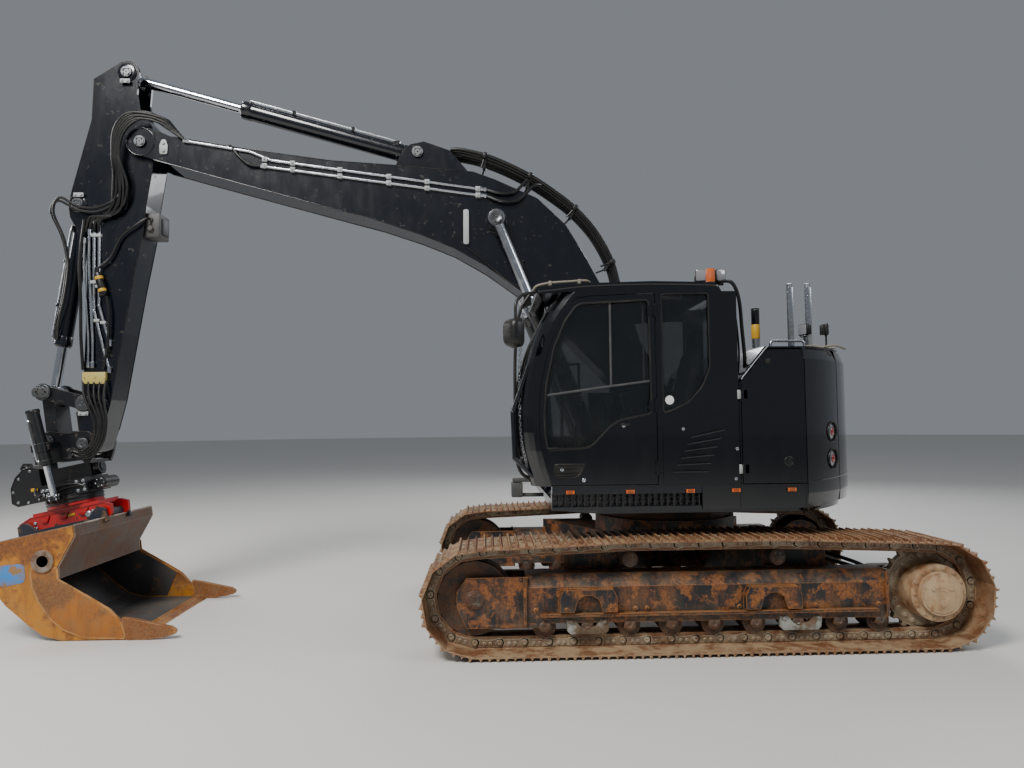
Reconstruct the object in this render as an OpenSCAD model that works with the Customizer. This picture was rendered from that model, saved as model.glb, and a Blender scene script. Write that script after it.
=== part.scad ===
// Crawler excavator with a tilting and turning coupler and a wide bucket.
// Millimetres. +X points forward, +Y to the operator's left, +Z up.
// The origin lies on the ground under the middle of the slewing ring.

/* [Undercarriage] */
// Distance between the idler's and the sprocket's shafts
wheelbase = 3600; // [3400:10:3800]
// Distance between the middles of the two tracks
track_gauge = 2390; // [2290:10:2590]
// Width of a track shoe
shoe_w = 600; // [500:50:700]
// Shoes in one track
shoe_count = 49; // [47:1:51]
// Radius of the circle that the link pins follow round the end wheels
pin_r = 343; // [330:1:350]
// Height of the link pins above the tips of the grousers
pin_h = 82; // [78:1:90]
// Height of the carrier rollers' run above the end wheels' run
top_rise = 46; // [30:1:60]
// Lower rollers on one side
roller_count = 9; // [7:1:9]
// Distance between two lower rollers
roller_pitch = 328.5; // [320:0.5:330]
// Width of a track frame
frame_w = 300; // [280:5:320]

/* [Slewing platform] */
// Height of the platform's underside
deck_z = 1060; // [1040:5:1090]
// Outer radius of the slewing ring
ring_r = 610; // [580:5:640]
// Half the width over the bodywork
body_half = 1420; // [1380:5:1450]
// Radius swung by the tail
tail_r = 1625; // [1600:5:1660]
// Top of the skirt panels
skirt_z = 1285; // [1270:5:1300]
// Top of the engine housing
hood_z = 2360; // [2350:5:2380]
// Rear face of the service doors
bay_rear = -790; // [-820:5:-760]
// Front face of the service doors
bay_front = -275; // [-285:5:-265]

/* [Cab] */
// Width of the cab
cab_w = 990; // [940:5:1000]
// Back wall of the cab
cab_rear = -262; // [-270:1:-250]
// Thickness of the cab's walls
cab_wall = 50; // [40:1:60]
// Height of the roof's top
roof_z = 2872; // [2840:1:2900]
// Rear edge of the door
door_rear = 384; // [370:1:400]
// Thickness of the door
door_t = 44; // [36:1:48]
// Gap round a door
door_gap = 6; // [5:0.5:8]

/* [Boom] */
// Boom foot pin, forward of the slewing axis
boom_x = 150; // [140:1:160]
// Boom foot pin, above the ground
boom_z = 1850; // [1845:1:1860]
// Width over the boom's side plates
boom_w = 400; // [380:5:410]
// Thickness of the boom's side plates
boom_plate = 20; // [14:1:26]
// Bore of the boom cylinders' barrels, outside
boom_barrel_r = 74; // [70:1:76]
// Radius of the boom cylinders' rods
boom_rod_r = 46; // [40:1:50]

/* [Arm] */
// Width over the arm's side plates
arm_w = 300; // [280:5:310]
// Outside radius of the arm cylinder's barrel
arm_barrel_r = 82; // [76:1:88]
// Radius of the arm cylinder's rod
arm_rod_r = 48; // [42:1:52]
// Outside radius of the bucket cylinder's barrel
bucket_barrel_r = 72; // [66:1:76]
// Radius of the bucket cylinder's rod
bucket_rod_r = 42; // [38:1:46]
// Radius of the large pins
pin_rad = 45; // [40:1:48]
// Radial clearance of a pin in its bore
pin_gap = 0.05; // [0.02:0.01:0.1]

/* [Coupler and bucket] */
// Forward tilt of the tool below the level, in degrees
tool_pitch = 12; // [10:0.5:14]
// Distance of the tilting axis below the arm's pin
tilt_n = 225; // [222:1:228]
// Distance of the turning axis in front of the arm's pin
turn_u = 270; // [260:1:280]
// Width of the bucket
bucket_w = 1450; // [1300:10:1500]
// Thickness of the bucket's plates
bucket_t = 22; // [16:1:28]

/* [Hidden] */
$fn = 48;
seat_gap = 0.3;
black = "#15181d";
worn = "#4a4038";
rust = "#8a5a34";
steel = "#b9bcc0";
dark = "#26282b";

// Undercarriage: wheels and the closed line that the link pins follow
track_y = track_gauge / 2;
wheel_x = wheelbase / 2;
wheel_z = pin_h + pin_r;
carrier_x = 585;
carrier_pin_z = wheel_z + pin_r + top_rise;
arc_step = 7.5;
pin_path = concat(
    [for (a = [-90 : arc_step : 90]) [wheel_x + pin_r * cos(a), wheel_z + pin_r * sin(a)]],
    [for (x = [carrier_x, -carrier_x]) [x, carrier_pin_z]],
    [for (a = [90 : arc_step : 270]) [-wheel_x + pin_r * cos(a), wheel_z + pin_r * sin(a)]]);
path_n = len(pin_path);
function path_run(i = 0, sum = 0) = i > path_n ? [] :
    concat([sum], path_run(i + 1, sum + norm(pin_path[(i + 1) % path_n] - pin_path[i % path_n])));
path_s = path_run();
link_pitch = path_s[path_n] / shoe_count;
path_x = [for (i = [0 : path_n]) [path_s[i], pin_path[i % path_n].x]];
path_z = [for (i = [0 : path_n]) [path_s[i], pin_path[i % path_n].y]];
link_pin = [for (i = [0 : shoe_count - 1]) let (s = i * link_pitch)
    [lookup(s, path_x), lookup(s, path_z)]];

// Shoe seat, plate and link rail, measured outwards from the pins
shoe_seat = 45;
shoe_plate = 11;
rail_in = 48;
rail_t = 40;
rail_y = 45;
tip_h = pin_h;
plate_h = shoe_seat + shoe_plate;
// Outline of one shoe as shares of the pitch and heights: three grousers
shoe_line = [
    [-0.49, plate_h], [-0.455, tip_h], [-0.40, tip_h], [-0.35, plate_h],
    [-0.16, plate_h], [-0.09, tip_h - 3], [-0.03, plate_h],
    [0.18, plate_h], [0.25, tip_h], [0.32, plate_h]];
function link_dir(i) = let (d = link_pin[(i + 1) % shoe_count] - link_pin[i]) d / norm(d);
function link_out(i) = let (d = link_dir(i)) [d.y, -d.x];
function shoe_outline() = [for (i = [0 : shoe_count - 1])
    let (a = link_pin[i], b = link_pin[(i + 1) % shoe_count], d = link_dir(i), n = link_out(i))
    for (p = shoe_line) (a + b) / 2 + d * p.x * norm(b - a) + n * p.y];
// The pins' own outline moved outwards by h, mitred at each pin
function pin_offset(h) = [for (i = [0 : shoe_count - 1])
    let (m = link_out(i), k = link_out((i + shoe_count - 1) % shoe_count), s = m + k, u = s / norm(s))
    link_pin[i] + u * h / (u * m)];

rail_z = pin_h - rail_in;
tread_r = sqrt(pin_r * pin_r - pow(link_pitch / 2, 2)) - rail_in - seat_gap;
roller_r = 75;
roller_z = pin_h + rail_in + roller_r + seat_gap;
roller_x0 = roller_pitch * (roller_count - 1) / 2 - 53;
carrier_r = 62;
carrier_gap = 1.2;
carrier_z = carrier_pin_z - rail_in - carrier_r - carrier_gap;
beam_low = 300;
beam_top = 600;
plate_low = 238;
frame_front = 1405;
frame_rear = -1430;
side_t = 24;

// Slewing platform
ring_low = 905;
ring_top = deck_z - 40;
deck_half = body_half - 120;
cab_y = body_half - cab_w / 2;
cab_in = body_half - cab_w;
// Front edge of the cab's side as height and distance forward
pillar_line = [[1290, 1200], [1430, 1245], [1558, 1274], [1700, 1290], [1834, 1294], [1950, 1290],
    [2072, 1276], [2215, 1248], [2358, 1210], [2460, 1170], [2559, 1123], [2650, 1070], [2738, 1003],
    [2800, 950]];
function pillar(z) = lookup(z, pillar_line);
cab_low = skirt_z + 0.3;
cab_top = 2790;
nose = 150;

// Boom, arm and their pins: [forward, up]
boom_foot = [boom_x, boom_z];
arm_pivot = [4921, 4444];
boom_rod_pin = [1590, 3675];
boom_cyl_foot = [700, 1470];
arm_cyl_foot = [2335, 4370];
arm_rod_pin = [5078, 5132];
bucket_cyl_foot = [5508, 3867];
guide_pin = [5400, 1996];
link_joint = [5765, 2098];
hitch_link_pin = [5698, 1651];
tip_pin = [5385, 1623];
cyl_y = 345;
eye_w = 90;

// Extrudes an upright outline [forward, up] between two planes across the machine
module slab(y0, y1) translate([0, y1, 0]) rotate([90, 0, 0]) linear_extrude(y1 - y0) children();
// Round bar across the machine
module bar(p, r, y0, y1) translate([p.x, y0, p.y]) rotate([-90, 0, 0]) cylinder(r = r, h = y1 - y0);
// The same piece on both sides
module sides() { children(); mirror([0, 1, 0]) children(); }
module box(x0, x1, y0, y1, z0, z1) translate([x0, y0, z0]) cube([x1 - x0, y1 - y0, z1 - z0]);
// Moves a tool's own frame (u forward, v across, n down from the arm's pin) into the machine's
module in_tool() translate([tip_pin.x, 0, tip_pin.y]) rotate([0, tool_pitch, 0]) mirror([0, 0, 1])
    children();
// Tube along a list of points with round corners
module tube(points, r) {
    for (i = [0 : len(points) - 2]) {
        d = points[i + 1] - points[i];
        translate(points[i]) rotate([0, acos(d.z / norm(d)), atan2(d.y, d.x)])
            cylinder(r = r, h = norm(d), $fn = 20);
    }
    for (i = [1 : 1 : len(points) - 2]) translate(points[i]) sphere(r = r + 1.5, $fn = 20);
}

// One track: the ring of shoes on two rows of links
module track(y) {
    color(worn) union() {
        slab(y - shoe_w / 2, y + shoe_w / 2) difference() {
            polygon(shoe_outline());
            polygon(pin_offset(shoe_seat));
        }
        for (s = [-1, 1]) let (m = y + s * (rail_y + rail_t / 2)) slab(m - rail_t / 2, m + rail_t / 2)
            difference() {
                polygon(pin_offset(shoe_seat + 4));
                polygon(pin_offset(-rail_in));
            }
    }
}
module track_left() track(track_y);
module track_right() track(-track_y);

// Arched step standing out from the beam between x0 and x1
step_low = 329;
step_top = 500;
step_out = 62;
module step(x0, x1, y) slab(y - 1, y + step_out) polygon([[x0, step_low], [x0, step_top - 60],
    [x0 + 30, step_top], [x1 - 30, step_top], [x1, step_top - 60], [x1, step_low], [x1 - 110, step_low],
    [x1 - 140, step_top - 78],
    [x1 - 190, step_top - 44], [x0 + 190, step_top - 44], [x0 + 140, step_top - 78], [x0 + 110, step_low]]);
// Track frame beam with roller plates, idler yoke, drive ring, ledge and steps, its own middle at y = 0
module track_frame(out) {
    half = frame_w / 2;
    color(black) {
        difference() {
            union() {
                translate([frame_rear, 0, 0]) rotate([90, 0, 90]) linear_extrude(frame_front - frame_rear)
                    polygon([[-half, plate_low], [-half + side_t, plate_low], [-half + side_t, beam_low],
                        [half - side_t, beam_low], [half - side_t, plate_low], [half, plate_low],
                        [half, beam_top - 90], [half - 70, beam_top], [-half + 70, beam_top],
                        [-half, beam_top - 90]]);
                for (m = [-1, 1] * (half - side_t / 2)) slab(m - side_t / 2, m + side_t / 2)
                    polygon([[frame_front - 15, plate_low - 30], [wheel_x + 60, plate_low - 30],
                        [wheel_x + 135, wheel_z - 60], [wheel_x + 135, wheel_z + 60],
                        [wheel_x + 60, beam_top - 10], [frame_front - 15, beam_top - 10]]);
            }
            bar([wheel_x, wheel_z], 56, -half - 10, half + 10);
        }
        slab(-out * half - (out > 0 ? 0 : side_t), -out * half + (out > 0 ? side_t : 0)) difference() {
            union() {
                translate([-wheel_x, wheel_z]) circle(r = 240);
                polygon([[frame_rear + 2, plate_low + 30], [frame_rear + 2, beam_top - 90],
                    [-wheel_x, wheel_z + 240], [-wheel_x, wheel_z - 240]]);
            }
            translate([-wheel_x, wheel_z]) circle(r = 150);
        }
        slab(out > 0 ? half - 1 : -half - 40, out > 0 ? half + 40 : -half + 1)
            polygon([[-1330, beam_low - 8], [1290, beam_low - 8], [1290, beam_low + 12],
                [-1330, beam_low + 12]]);
        step(709, 1151, half);
        step(-722, -285, half);
        for (i = [0 : roller_count - 1]) for (s = [-1, 1])
            box(roller_x0 - i * roller_pitch - 45, roller_x0 - i * roller_pitch + 45,
                s * 123 - 15, s * 123 + 15, roller_z - 15, beam_low);
    }
}
module track_frame_left() translate([0, track_y, 0]) track_frame(1);
module track_frame_right() mirror([0, 1, 0]) translate([0, track_y, 0]) track_frame(1);

module idlers() sides() translate([0, track_y, 0]) color(worn) {
    bar([wheel_x, wheel_z], tread_r, -92, -42);
    bar([wheel_x, wheel_z], tread_r, 42, 92);
    bar([wheel_x, wheel_z], tread_r + 16, -38, 38);
    bar([wheel_x, wheel_z], 200, -42, 42);
    bar([wheel_x, wheel_z], 56 - seat_gap, -frame_w / 2, frame_w / 2);
}

tooth_count = 22;
tooth_line = [[0, 322], [0.28, 322], [0.42, 352], [0.58, 352], [0.72, 322]];
module sprockets() sides() translate([0, track_y, 0]) color("#8d7f6c") slab(-28, 28) difference() {
    polygon([for (i = [0 : tooth_count - 1]) for (p = tooth_line) let (a = 360 * (i + p.x) / tooth_count)
        [-wheel_x, wheel_z] + p.y * [cos(a), sin(a)]]);
    translate([-wheel_x, wheel_z]) circle(r = 150);
}
module final_drives() sides() translate([0, track_y, 0]) color("#b08a5e") {
    bar([-wheel_x, wheel_z], 149.9, -frame_w / 2 - 60, 28);
    bar([-wheel_x, wheel_z], 220, 28.3, 200);
    bar([-wheel_x, wheel_z], 165, 200, 248);
}

module lower_rollers() sides() translate([0, track_y, 0]) color(worn)
    for (i = [0 : roller_count - 1]) translate([roller_x0 - i * roller_pitch, -107.7, roller_z])
        rotate([-90, 0, 0]) rotate_extrude() polygon([[0, 0], [58, 0], [58, 8], [90, 8], [90, 18],
            [roller_r, 20], [roller_r, 66], [60, 70], [60, 144], [roller_r, 148], [roller_r, 194],
            [90, 196], [90, 206], [58, 206], [58, 215.4], [0, 215.4]]);

module carrier_rollers() sides() translate([0, track_y, 0]) color(worn)
    for (x = [carrier_x, -carrier_x]) {
        bar([x, carrier_z], carrier_r, -92, 92);
        bar([x, carrier_z], 30, -105, -92);
        box(x - 45, x + 45, -123, -103, beam_top + seat_gap, carrier_z + 35);
        box(x - 45, x + 45, -105, -30, beam_top + seat_gap, beam_top + 14);
    }
// Cross frame between the tracks
module carbody() color(black) {
    difference() {
        union() {
            translate([0, 0, 700]) cylinder(r = ring_r + 40, h = ring_low - 700);
            translate([0, 0, 470]) linear_extrude(250) polygon([
                [260, -420], [620, -track_y + frame_w / 2], [1080, -track_y + frame_w / 2], [620, -150],
                [620, 150], [1080, track_y - frame_w / 2], [620, track_y - frame_w / 2], [260, 420],
                [-260, 420], [-620, track_y - frame_w / 2], [-1080, track_y - frame_w / 2], [-620, 150],
                [-620, -150], [-1080, -track_y + frame_w / 2], [-620, -track_y + frame_w / 2],
                [-260, -420]]);
        }
        translate([0, 0, 400]) cylinder(r = 300, h = 700);
    }
}
module slewing_ring() color(steel) translate([0, 0, ring_low]) difference() {
    union() {
        cylinder(r = ring_r, h = 60, $fn = 96);
        translate([0, 0, 60]) cylinder(r = ring_r - 20, h = ring_top - ring_low - 60 - seat_gap, $fn = 96);
    }
    translate([0, 0, -1]) cylinder(r = ring_r - 130, h = 200);
}

// Outline of the upper structure seen from above, inside the tail circle
module tail_plan(r, half, front) intersection() {
    circle(r = r, $fn = 128);
    polygon([[front, -half], [front, half], [-r, half], [-r, -half]]);
}

// Platform: bearing seat, deck, cab and tank beams, boom towers and cylinder ears
tower_in = boom_w / 2 + 16;
tower_t = 45;
ear_in = cyl_y + eye_w / 2 + 5;
deck_t = 60;
module platform() color(black) {
    translate([0, 0, ring_top]) difference() {
        cylinder(r = ring_r - 30, h = deck_z - ring_top + 1, $fn = 96);
        translate([0, 0, -1]) cylinder(r = 300, h = 100);
    }
    translate([0, 0, deck_z]) linear_extrude(deck_t) difference() {
        intersection() {
            circle(r = tail_r - 80, $fn = 128);
            translate([-tail_r, -deck_half]) square([tail_r + 1150, 2 * deck_half]);
        }
        circle(r = 300);
    }
    sides() {
        box(-250, 1150, tail_r - 425, deck_half - 10, deck_z + deck_t - 1, cab_low - seat_gap);
        box(-250, 560, 490, 550, deck_z + deck_t - 1, cab_low - seat_gap);
    }
    difference() {
        union() {
            sides() slab(tower_in, tower_in + tower_t) polygon([[-400, deck_z + 50], [-400, 1480],
                [-300, 1560], [-20, 1960], [90, 2020], [230, 2010], [320, 1920], [480, 1620], [790, 1590],
                [850, 1400], [1000, 1300], [1130, deck_z + 50]]);
            sides() slab(ear_in, ear_in + 20) polygon([[500, deck_z + 50], [620, 1530], [700, 1562],
                [780, 1530], [900, deck_z + 50]]);
        }
        bar(boom_foot, pin_rad - 1, -body_half, body_half);
        bar(boom_cyl_foot, pin_rad - 1, -body_half, body_half);
    }
    bar(boom_foot, pin_rad, -tower_in - tower_t - 6, tower_in + tower_t + 6);
    sides() bar(boom_cyl_foot, pin_rad, tower_in + 4, ear_in + 26);
}

// Cast tail, hollow in front for the engine bay, with recesses for the lamps
cw_low = 1060;
top_t = 12;
lamp_at = [-tail_r + 533, tail_r - 430];
lamp_zs = [1465, 1682];
cw_top = hood_z - top_t - seat_gap;
cw_line = [[0, cw_low], [tail_r - 62, cw_low], [tail_r - 16, cw_low + 40], [tail_r, cw_low + 150],
    [tail_r, cw_top - 90], [tail_r - 36, cw_top], [0, cw_top]];
module counterweight() color(black) difference() {
    intersection() {
        rotate_extrude($fn = 128) polygon(cw_line);
        box(-tail_r, bay_rear, -body_half, body_half, cw_low, hood_z);
    }
    box(-tail_r + 420, bay_rear + 1, -body_half + 320, body_half - 320, deck_z + deck_t, hood_z + 30);
    difference() {
        box(-tail_r, bay_rear + 1, -deck_half - 1, deck_half + 1, cw_low - 1, deck_z + deck_t + seat_gap);
        box(-tail_r - 1, -tail_r + 66, -body_half, body_half, cw_low - 2, deck_z + deck_t + 1);
    }
    translate([0, 0, cw_low - 1])
        cylinder(r = tail_r - 80 + seat_gap, h = deck_z + deck_t + 1 + seat_gap - cw_low, $fn = 128);
    sides() for (z = lamp_zs) translate([lamp_at.x, lamp_at.y, z])
        rotate([0, 90, atan2(lamp_at.y, lamp_at.x)]) translate([0, 0, -40]) cylinder(r = 78, h = 120);
}
module engine_block() color(dark) box(-tail_r + 485, -420, -600, 560, deck_z + deck_t + seat_gap, 2050);
// Skirt panels below the cab and the doors
skirt_low = 1100;
module skirts() color(black) {
    sides() box(bay_rear + 4, 40, deck_half + seat_gap, body_half, skirt_low, skirt_z);
    mirror([0, 1, 0]) box(46, 1150, deck_half + seat_gap, body_half, skirt_low, skirt_z);
}
// Footboard below the cab door: a rail over a row of upright bars
module step_sill() color(black) {
    box(46, 1200, body_half - 70, body_half + 6, skirt_z - 60, skirt_z);
    box(46, 1200, body_half - 60, body_half - 6, skirt_low, skirt_low + 26);
    for (i = [0 : 23]) translate([56 + i * 49.4, 0, 0])
        box(0, 10, body_half - 50, body_half - 14, skirt_low + 20, skirt_z - 55);
    box(46, 1200, deck_half + seat_gap, body_half - 68, skirt_low, skirt_z - 40);
}
// Lofted cab body: every level has the same plan with its nose moved to the pillar line
cab_levels = [cab_low, 1430, 1558, 1700, 1834, 1950, 2072, 2215, 2358, 2460, 2559, 2650, 2738, cab_top];
nose_arc = [0, 18, 36, 54, 72, 90];
function cab_plan(z, t) = let (x = pillar(z) - t, r = nose - t * 0.3, y1 = body_half - t, y0 = cab_in + t)
    concat(
    [[cab_rear + t, y0], [x, y0]],
    [for (a = nose_arc) if (a > 0) [x + r * sin(a), y0 + r * (1 - cos(a))]],
    [for (a = [90 : -18 : 18]) [x + r * sin(a), y1 - r * (1 - cos(a))]],
    [[x, y1], [cab_rear + t, y1]]);
module cab_loft(t, z0, z1) {
    zs = concat([z0], [for (z = cab_levels) if (z > z0 && z < z1) z], [z1]);
    rows = [for (z = zs) cab_plan(z, t)];
    n = len(rows[0]);
    m = len(zs);
    polyhedron(
        points = [for (i = [0 : m - 1]) for (p = rows[i]) [p.x, p.y, zs[i]]],
        faces = concat([[for (k = [0 : n - 1]) k]],
            [[for (k = [n - 1 : -1 : 0]) (m - 1) * n + k]],
            [for (i = [0 : m - 2]) for (k = [0 : n - 1]) let (a = i * n + k, b = i * n + (k + 1) % n)
                each [[a, a + n, b + n], [a, b + n, b]]]));
}
function door_front(z) = pillar(z) - 6;
door_zs = [1296, 1430, 1558, 1700, 1834, 1950, 2072, 2215, 2358, 2460, 2559, 2650, 2700];
// Door outline, grown by g
function door_line(g) = concat(
    [for (z = door_zs) [door_front(z) + g, z == 1296 ? z - g : z]],
    [[980 + g, 2735 + g], [880, 2752 + g], [door_rear - g, 2772 + g], [door_rear - g, 1296 - g]]);
door_window = [[1228, 1560], [1248, 1700], [1252, 1834], [1235, 2072], [1170, 2358], [1085, 2559],
    [1000, 2672], [960, 2694], [448, 2722], [430, 2700], [420, 1836], [661, 1790], [747, 1736], [840, 1640],
    [889, 1592], [940, 1575]];
right_window = [[1100, 1600], [1130, 2072], [960, 2650], [-120, 2700], [-120, 1850], [400, 1600]];
quarter_window = [[330, 2770], [-30, 2775], [-42, 2760], [-44, 2190], [20, 2040], [126, 1925], [268, 1856],
    [330, 1840]];
module cab_shell() color(black) {
    difference() {
        cab_loft(0, cab_low, cab_top);
        cab_loft(cab_wall, cab_low + 40, cab_top + 1);
        slab(body_half - cab_wall - 2, body_half + 2) polygon(door_line(door_gap));
        slab(body_half - cab_wall - 2, body_half + 2) polygon(quarter_window);
        box(1000, 1600, cab_in + 110, body_half - 110, 1430, 2680);
        slab(cab_in - 2, cab_in + cab_wall + 2) polygon(right_window);
        box(cab_rear - 2, cab_rear + cab_wall + 2, cab_in + 90, body_half - 90, 1950, 2680);
    }
    fixed_hinge(door_hinge, hinge_zs, door_rear - 40);
}
roof_line = [[1297, 2781], [1297, 2808], [1180, 2829], [886, 2858], [391, roof_z], [-60, roof_z - 8],
    [-120, 2848], [-150, cab_top + seat_gap], [1115, cab_top + seat_gap], [1180, 2775]];
module cab_roof() color(black) slab(cab_in + 8, body_half - 8) polygon(roof_line);

// Glass panes set in the openings, each a little smaller than its own
glass_t = 8;
pane_scale = 0.999;
function middle(p) = [for (k = [0, 1]) let (v = [for (q = p) q[k]]) (min(v) + max(v)) / 2];
function pane(p) = let (c = middle(p)) [for (q = p) c + (q - c) * pane_scale];
module cab_glass() color([0.25, 0.4, 0.4, 0.5]) {
    difference() {
        intersection() {
            cab_loft(18, 1430 + seat_gap, 2680 - seat_gap);
            box(1000, 1600, cab_in + 110 + seat_gap, body_half - 110 - seat_gap, 1400, 2700);
        }
        cab_loft(18 + glass_t, 1400, 2700);
    }
    slab(body_half - 30, body_half - 30 + glass_t) polygon(pane(quarter_window));
    slab(cab_in + 22, cab_in + 22 + glass_t) polygon(pane(right_window));
    box(cab_rear + 20, cab_rear + 20 + glass_t, cab_in + 90 + seat_gap, body_half - 90 - seat_gap,
        1950 + seat_gap, 2680 - seat_gap);
}

// Pressed panel under the rear window with six slanted louvres
module cab_vent_panel() color(black) slab(body_half + seat_gap, body_half + 7) difference() {
    polygon([[door_rear - 46, 1300], [door_rear - 46, 1734], [cab_rear + 12, 1856], [cab_rear + 12, 1300]]);
    for (i = [0 : 5]) let (x = 119 + i * 27.5, z = 1669 - i * 53, w = 256, drop = 55 * (1 - i / 5))
        polygon([[x, z], [x - w, z + drop], [x - w, z + drop - 16], [x, z - 16]]);
}

// Operator's seat and controls
seat_pan = 1699;
seat_top = 1830;
seat_lean = 12;
module seat_cushions() color(dark) {
    translate([100, cab_y, 0]) {
        box(0, 500, -250, 250, seat_pan + seat_gap, seat_top);
        translate([20, 0, seat_top + 20 * tan(seat_lean) + seat_gap / cos(seat_lean)])
            rotate([0, -seat_lean, 0]) {
            box(-110, 0, -240, 240, 0, 560);
            box(-95, -15, -130, 130, 560 + seat_gap, 740);
        }
    }
}
module cab_controls() color(dark) {
    box(150, 550, cab_y - 200, cab_y + 200, cab_low + 40 + seat_gap, seat_pan);
    for (s = [-1, 1]) {
        box(60, 620, cab_y + s * 330 - 55, cab_y + s * 330 + 55, 1560, 1850);
        box(560, 600, cab_y + s * 330 - 20, cab_y + s * 330 + 20, 1850, 2010);
        box(150, 300, cab_y + s * 250 - 52, cab_y + s * 250 + 52, 1560, 1640);
    }
    for (s = [-1, 1]) translate([1020, cab_y + s * 90, cab_low + 40 + seat_gap]) rotate([0, -20, 0])
        box(0, 24, -20, 20, 0, 330);
}

// Tanks on the right and the step box in front of them
tank_in = cyl_y + boom_barrel_r + 60;
module right_tanks() color(black) mirror([0, 1, 0]) {
    box(cab_rear + 6, 640, tank_in, body_half - 20, cab_low, 2080);
    box(640.3, 1150, tank_in + 90, body_half - 20, cab_low, 1620);
}
// Walls and top of the engine bay; the top slopes down to the cab in front
bay_top = [[bay_rear - 470, hood_z], [-498, hood_z], [bay_front - 3, 2096]];
lid_x = [-1080, -520];
lid_y = [-1100, 250];
lid_pin = [lid_x[0] - 20, hood_z + 16];
module rear_walls() color(black) {
    sides() box(bay_front - 3, bay_front + 9, tower_in + tower_t + seat_gap, body_half, cab_low, 2080);
    box(bay_front - 3, bay_front + 9, -tower_in + seat_gap, tower_in - seat_gap, deck_z + deck_t + seat_gap,
        2080);
    sides() fixed_hinge(bay_hinge, bay_zs, bay_front + 9);
    for (y = [[-deck_half, -640], [640, deck_half]])
        box(bay_rear + 1, bay_rear + 21, y[0], y[1], cab_low, hood_z - top_t - seat_gap);
    difference() {
        intersection() {
            slab(-body_half + 60, body_half - 60) polygon([bay_top[0], bay_top[1], bay_top[2],
                bay_top[2] - [0, 16], [-498 - 5, hood_z - top_t], bay_top[0] - [0, top_t]]);
            cylinder(r = tail_r - 20, h = hood_z + 100, $fn = 128);
        }
        box(lid_x[0], lid_x[1], lid_y[0], lid_y[1], hood_z - 60, hood_z + 60);
    }
    for (y = [-900, 50]) lid_lugs(y);
}
// Pins of the lid's hinges with their two lugs
module lid_lugs(y) {
    bar(lid_pin, 7, y - 52, y + 52);
    for (s = [-1, 1]) translate([lid_pin.x, y + s * 46, 0]) box(-12, 12, -5.5, 5.5, hood_z - 1, hood_z + 27);
}
module engine_hood() color(black) difference() {
    union() {
        box(lid_x[0] + 6, lid_x[1] - 6, lid_y[0] + 6, lid_y[1] - 6, hood_z - 5, hood_z + 40);
        for (y = [-900, 50]) {
            bar(lid_pin, 14, y - 40, y + 40);
            box(lid_pin.x, lid_x[0] + 7, y - 36, y + 36, hood_z + 8, hood_z + 28);
        }
    }
    for (y = [-900, 50]) bar(lid_pin, 7.05, y - 60, y + 60);
    for (i = [0 : 9]) box(-960, -640, -900 + i * 60, -900 + i * 60 + 24, hood_z - 30, hood_z + 60);
    box(lid_x[0] + 30, lid_x[1] - 30, lid_y[0] + 30, lid_y[1] - 30, hood_z - 20, hood_z + 28);
}
// Upright hinges of the doors: pin and lugs on the body, knuckle and leaf on the door
module fixed_hinge(at, zs, x_body) for (z = zs) {
    dir = sign(x_body - at.x);
    translate([at.x, at.y, z - 52]) cylinder(r = 7, h = 104);
    for (s = [-1, 1]) translate([0, 0, z + s * 46]) {
        box(min(at.x + dir * 12, x_body), max(at.x + dir * 12, x_body), body_half - 12, at.y + 8, -5.5, 5.5);
        box(min(at.x - dir * 8, x_body), max(at.x - dir * 8, x_body), at.y - 8, at.y + 8, -5.5, 5.5);
    }
}
module knuckles(at, zs, x_leaf) for (z = zs) difference() {
    union() {
        translate([at.x, at.y, z - 40]) cylinder(r = 12, h = 80);
        box(min(at.x, x_leaf), max(at.x, x_leaf), body_half - 1, body_half + 8, z - 36, z + 36);
    }
    translate([at.x, at.y, z - 60]) cylinder(r = 7 + pin_gap, h = 120);
}
bay_hinge = [bay_front - 12, body_half + 13];
bay_zs = [1403, 1980];
door_low = cab_low + 6;
bay_door_top = 2330;
module bay_door() {
    slab(body_half - door_t, body_half) polygon([[bay_front - 9, door_low], [bay_front - 9, 2070],
        [-500, bay_door_top], [bay_rear + door_gap, bay_door_top], [bay_rear + door_gap, door_low]]);
    knuckles(bay_hinge, bay_zs, bay_front - 70);
}
module service_door() color(black) bay_door();
module pump_door() color(black) mirror([0, 1, 0]) bay_door();

// Exhaust pipe and two masts behind it
module stack_and_masts() color("#777b80") {
    translate([-800, 400, hood_z + seat_gap]) cylinder(r = 36, h = 451);
    for (x = [-1040, -1205]) translate([x, 600, hood_z + seat_gap]) cylinder(r = 24, h = 635);
}
rail_r = 17;
module handrails() color(black) {
    tube([[pillar(1360) + 118, body_half - 70, 1360], [1481, body_half - 75, 1500],
        [1494, body_half - 75, 1860], [pillar(2215) + 118, body_half - 70, 2215]], rail_r);
    mirror([0, 1, 0]) tube([[1100, body_half - 60, 1612], [1100, body_half - 60, 2450],
        [620, body_half - 60, 2450], [620, body_half - 60, 2070]], rail_r);
}
module mirrors() color(dark) {
    box(1400, 1540, body_half + 30, body_half + 90, 2373, 2560);
    tube([[1290, body_half - 60, 2795], [1400, body_half - 20, 2780], [1470, body_half + 60, 2700],
        [1470, body_half + 60, 2550]], 12);
    mirror([0, 1, 0]) {
        box(1040, 1090, body_half - 100, body_half + 60, 2490, 2720);
        tube([[1065, body_half - 60, 2445], [1065, body_half - 60, 2500]], 12);
    }
}
lamp_y = body_half - 220;
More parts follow.
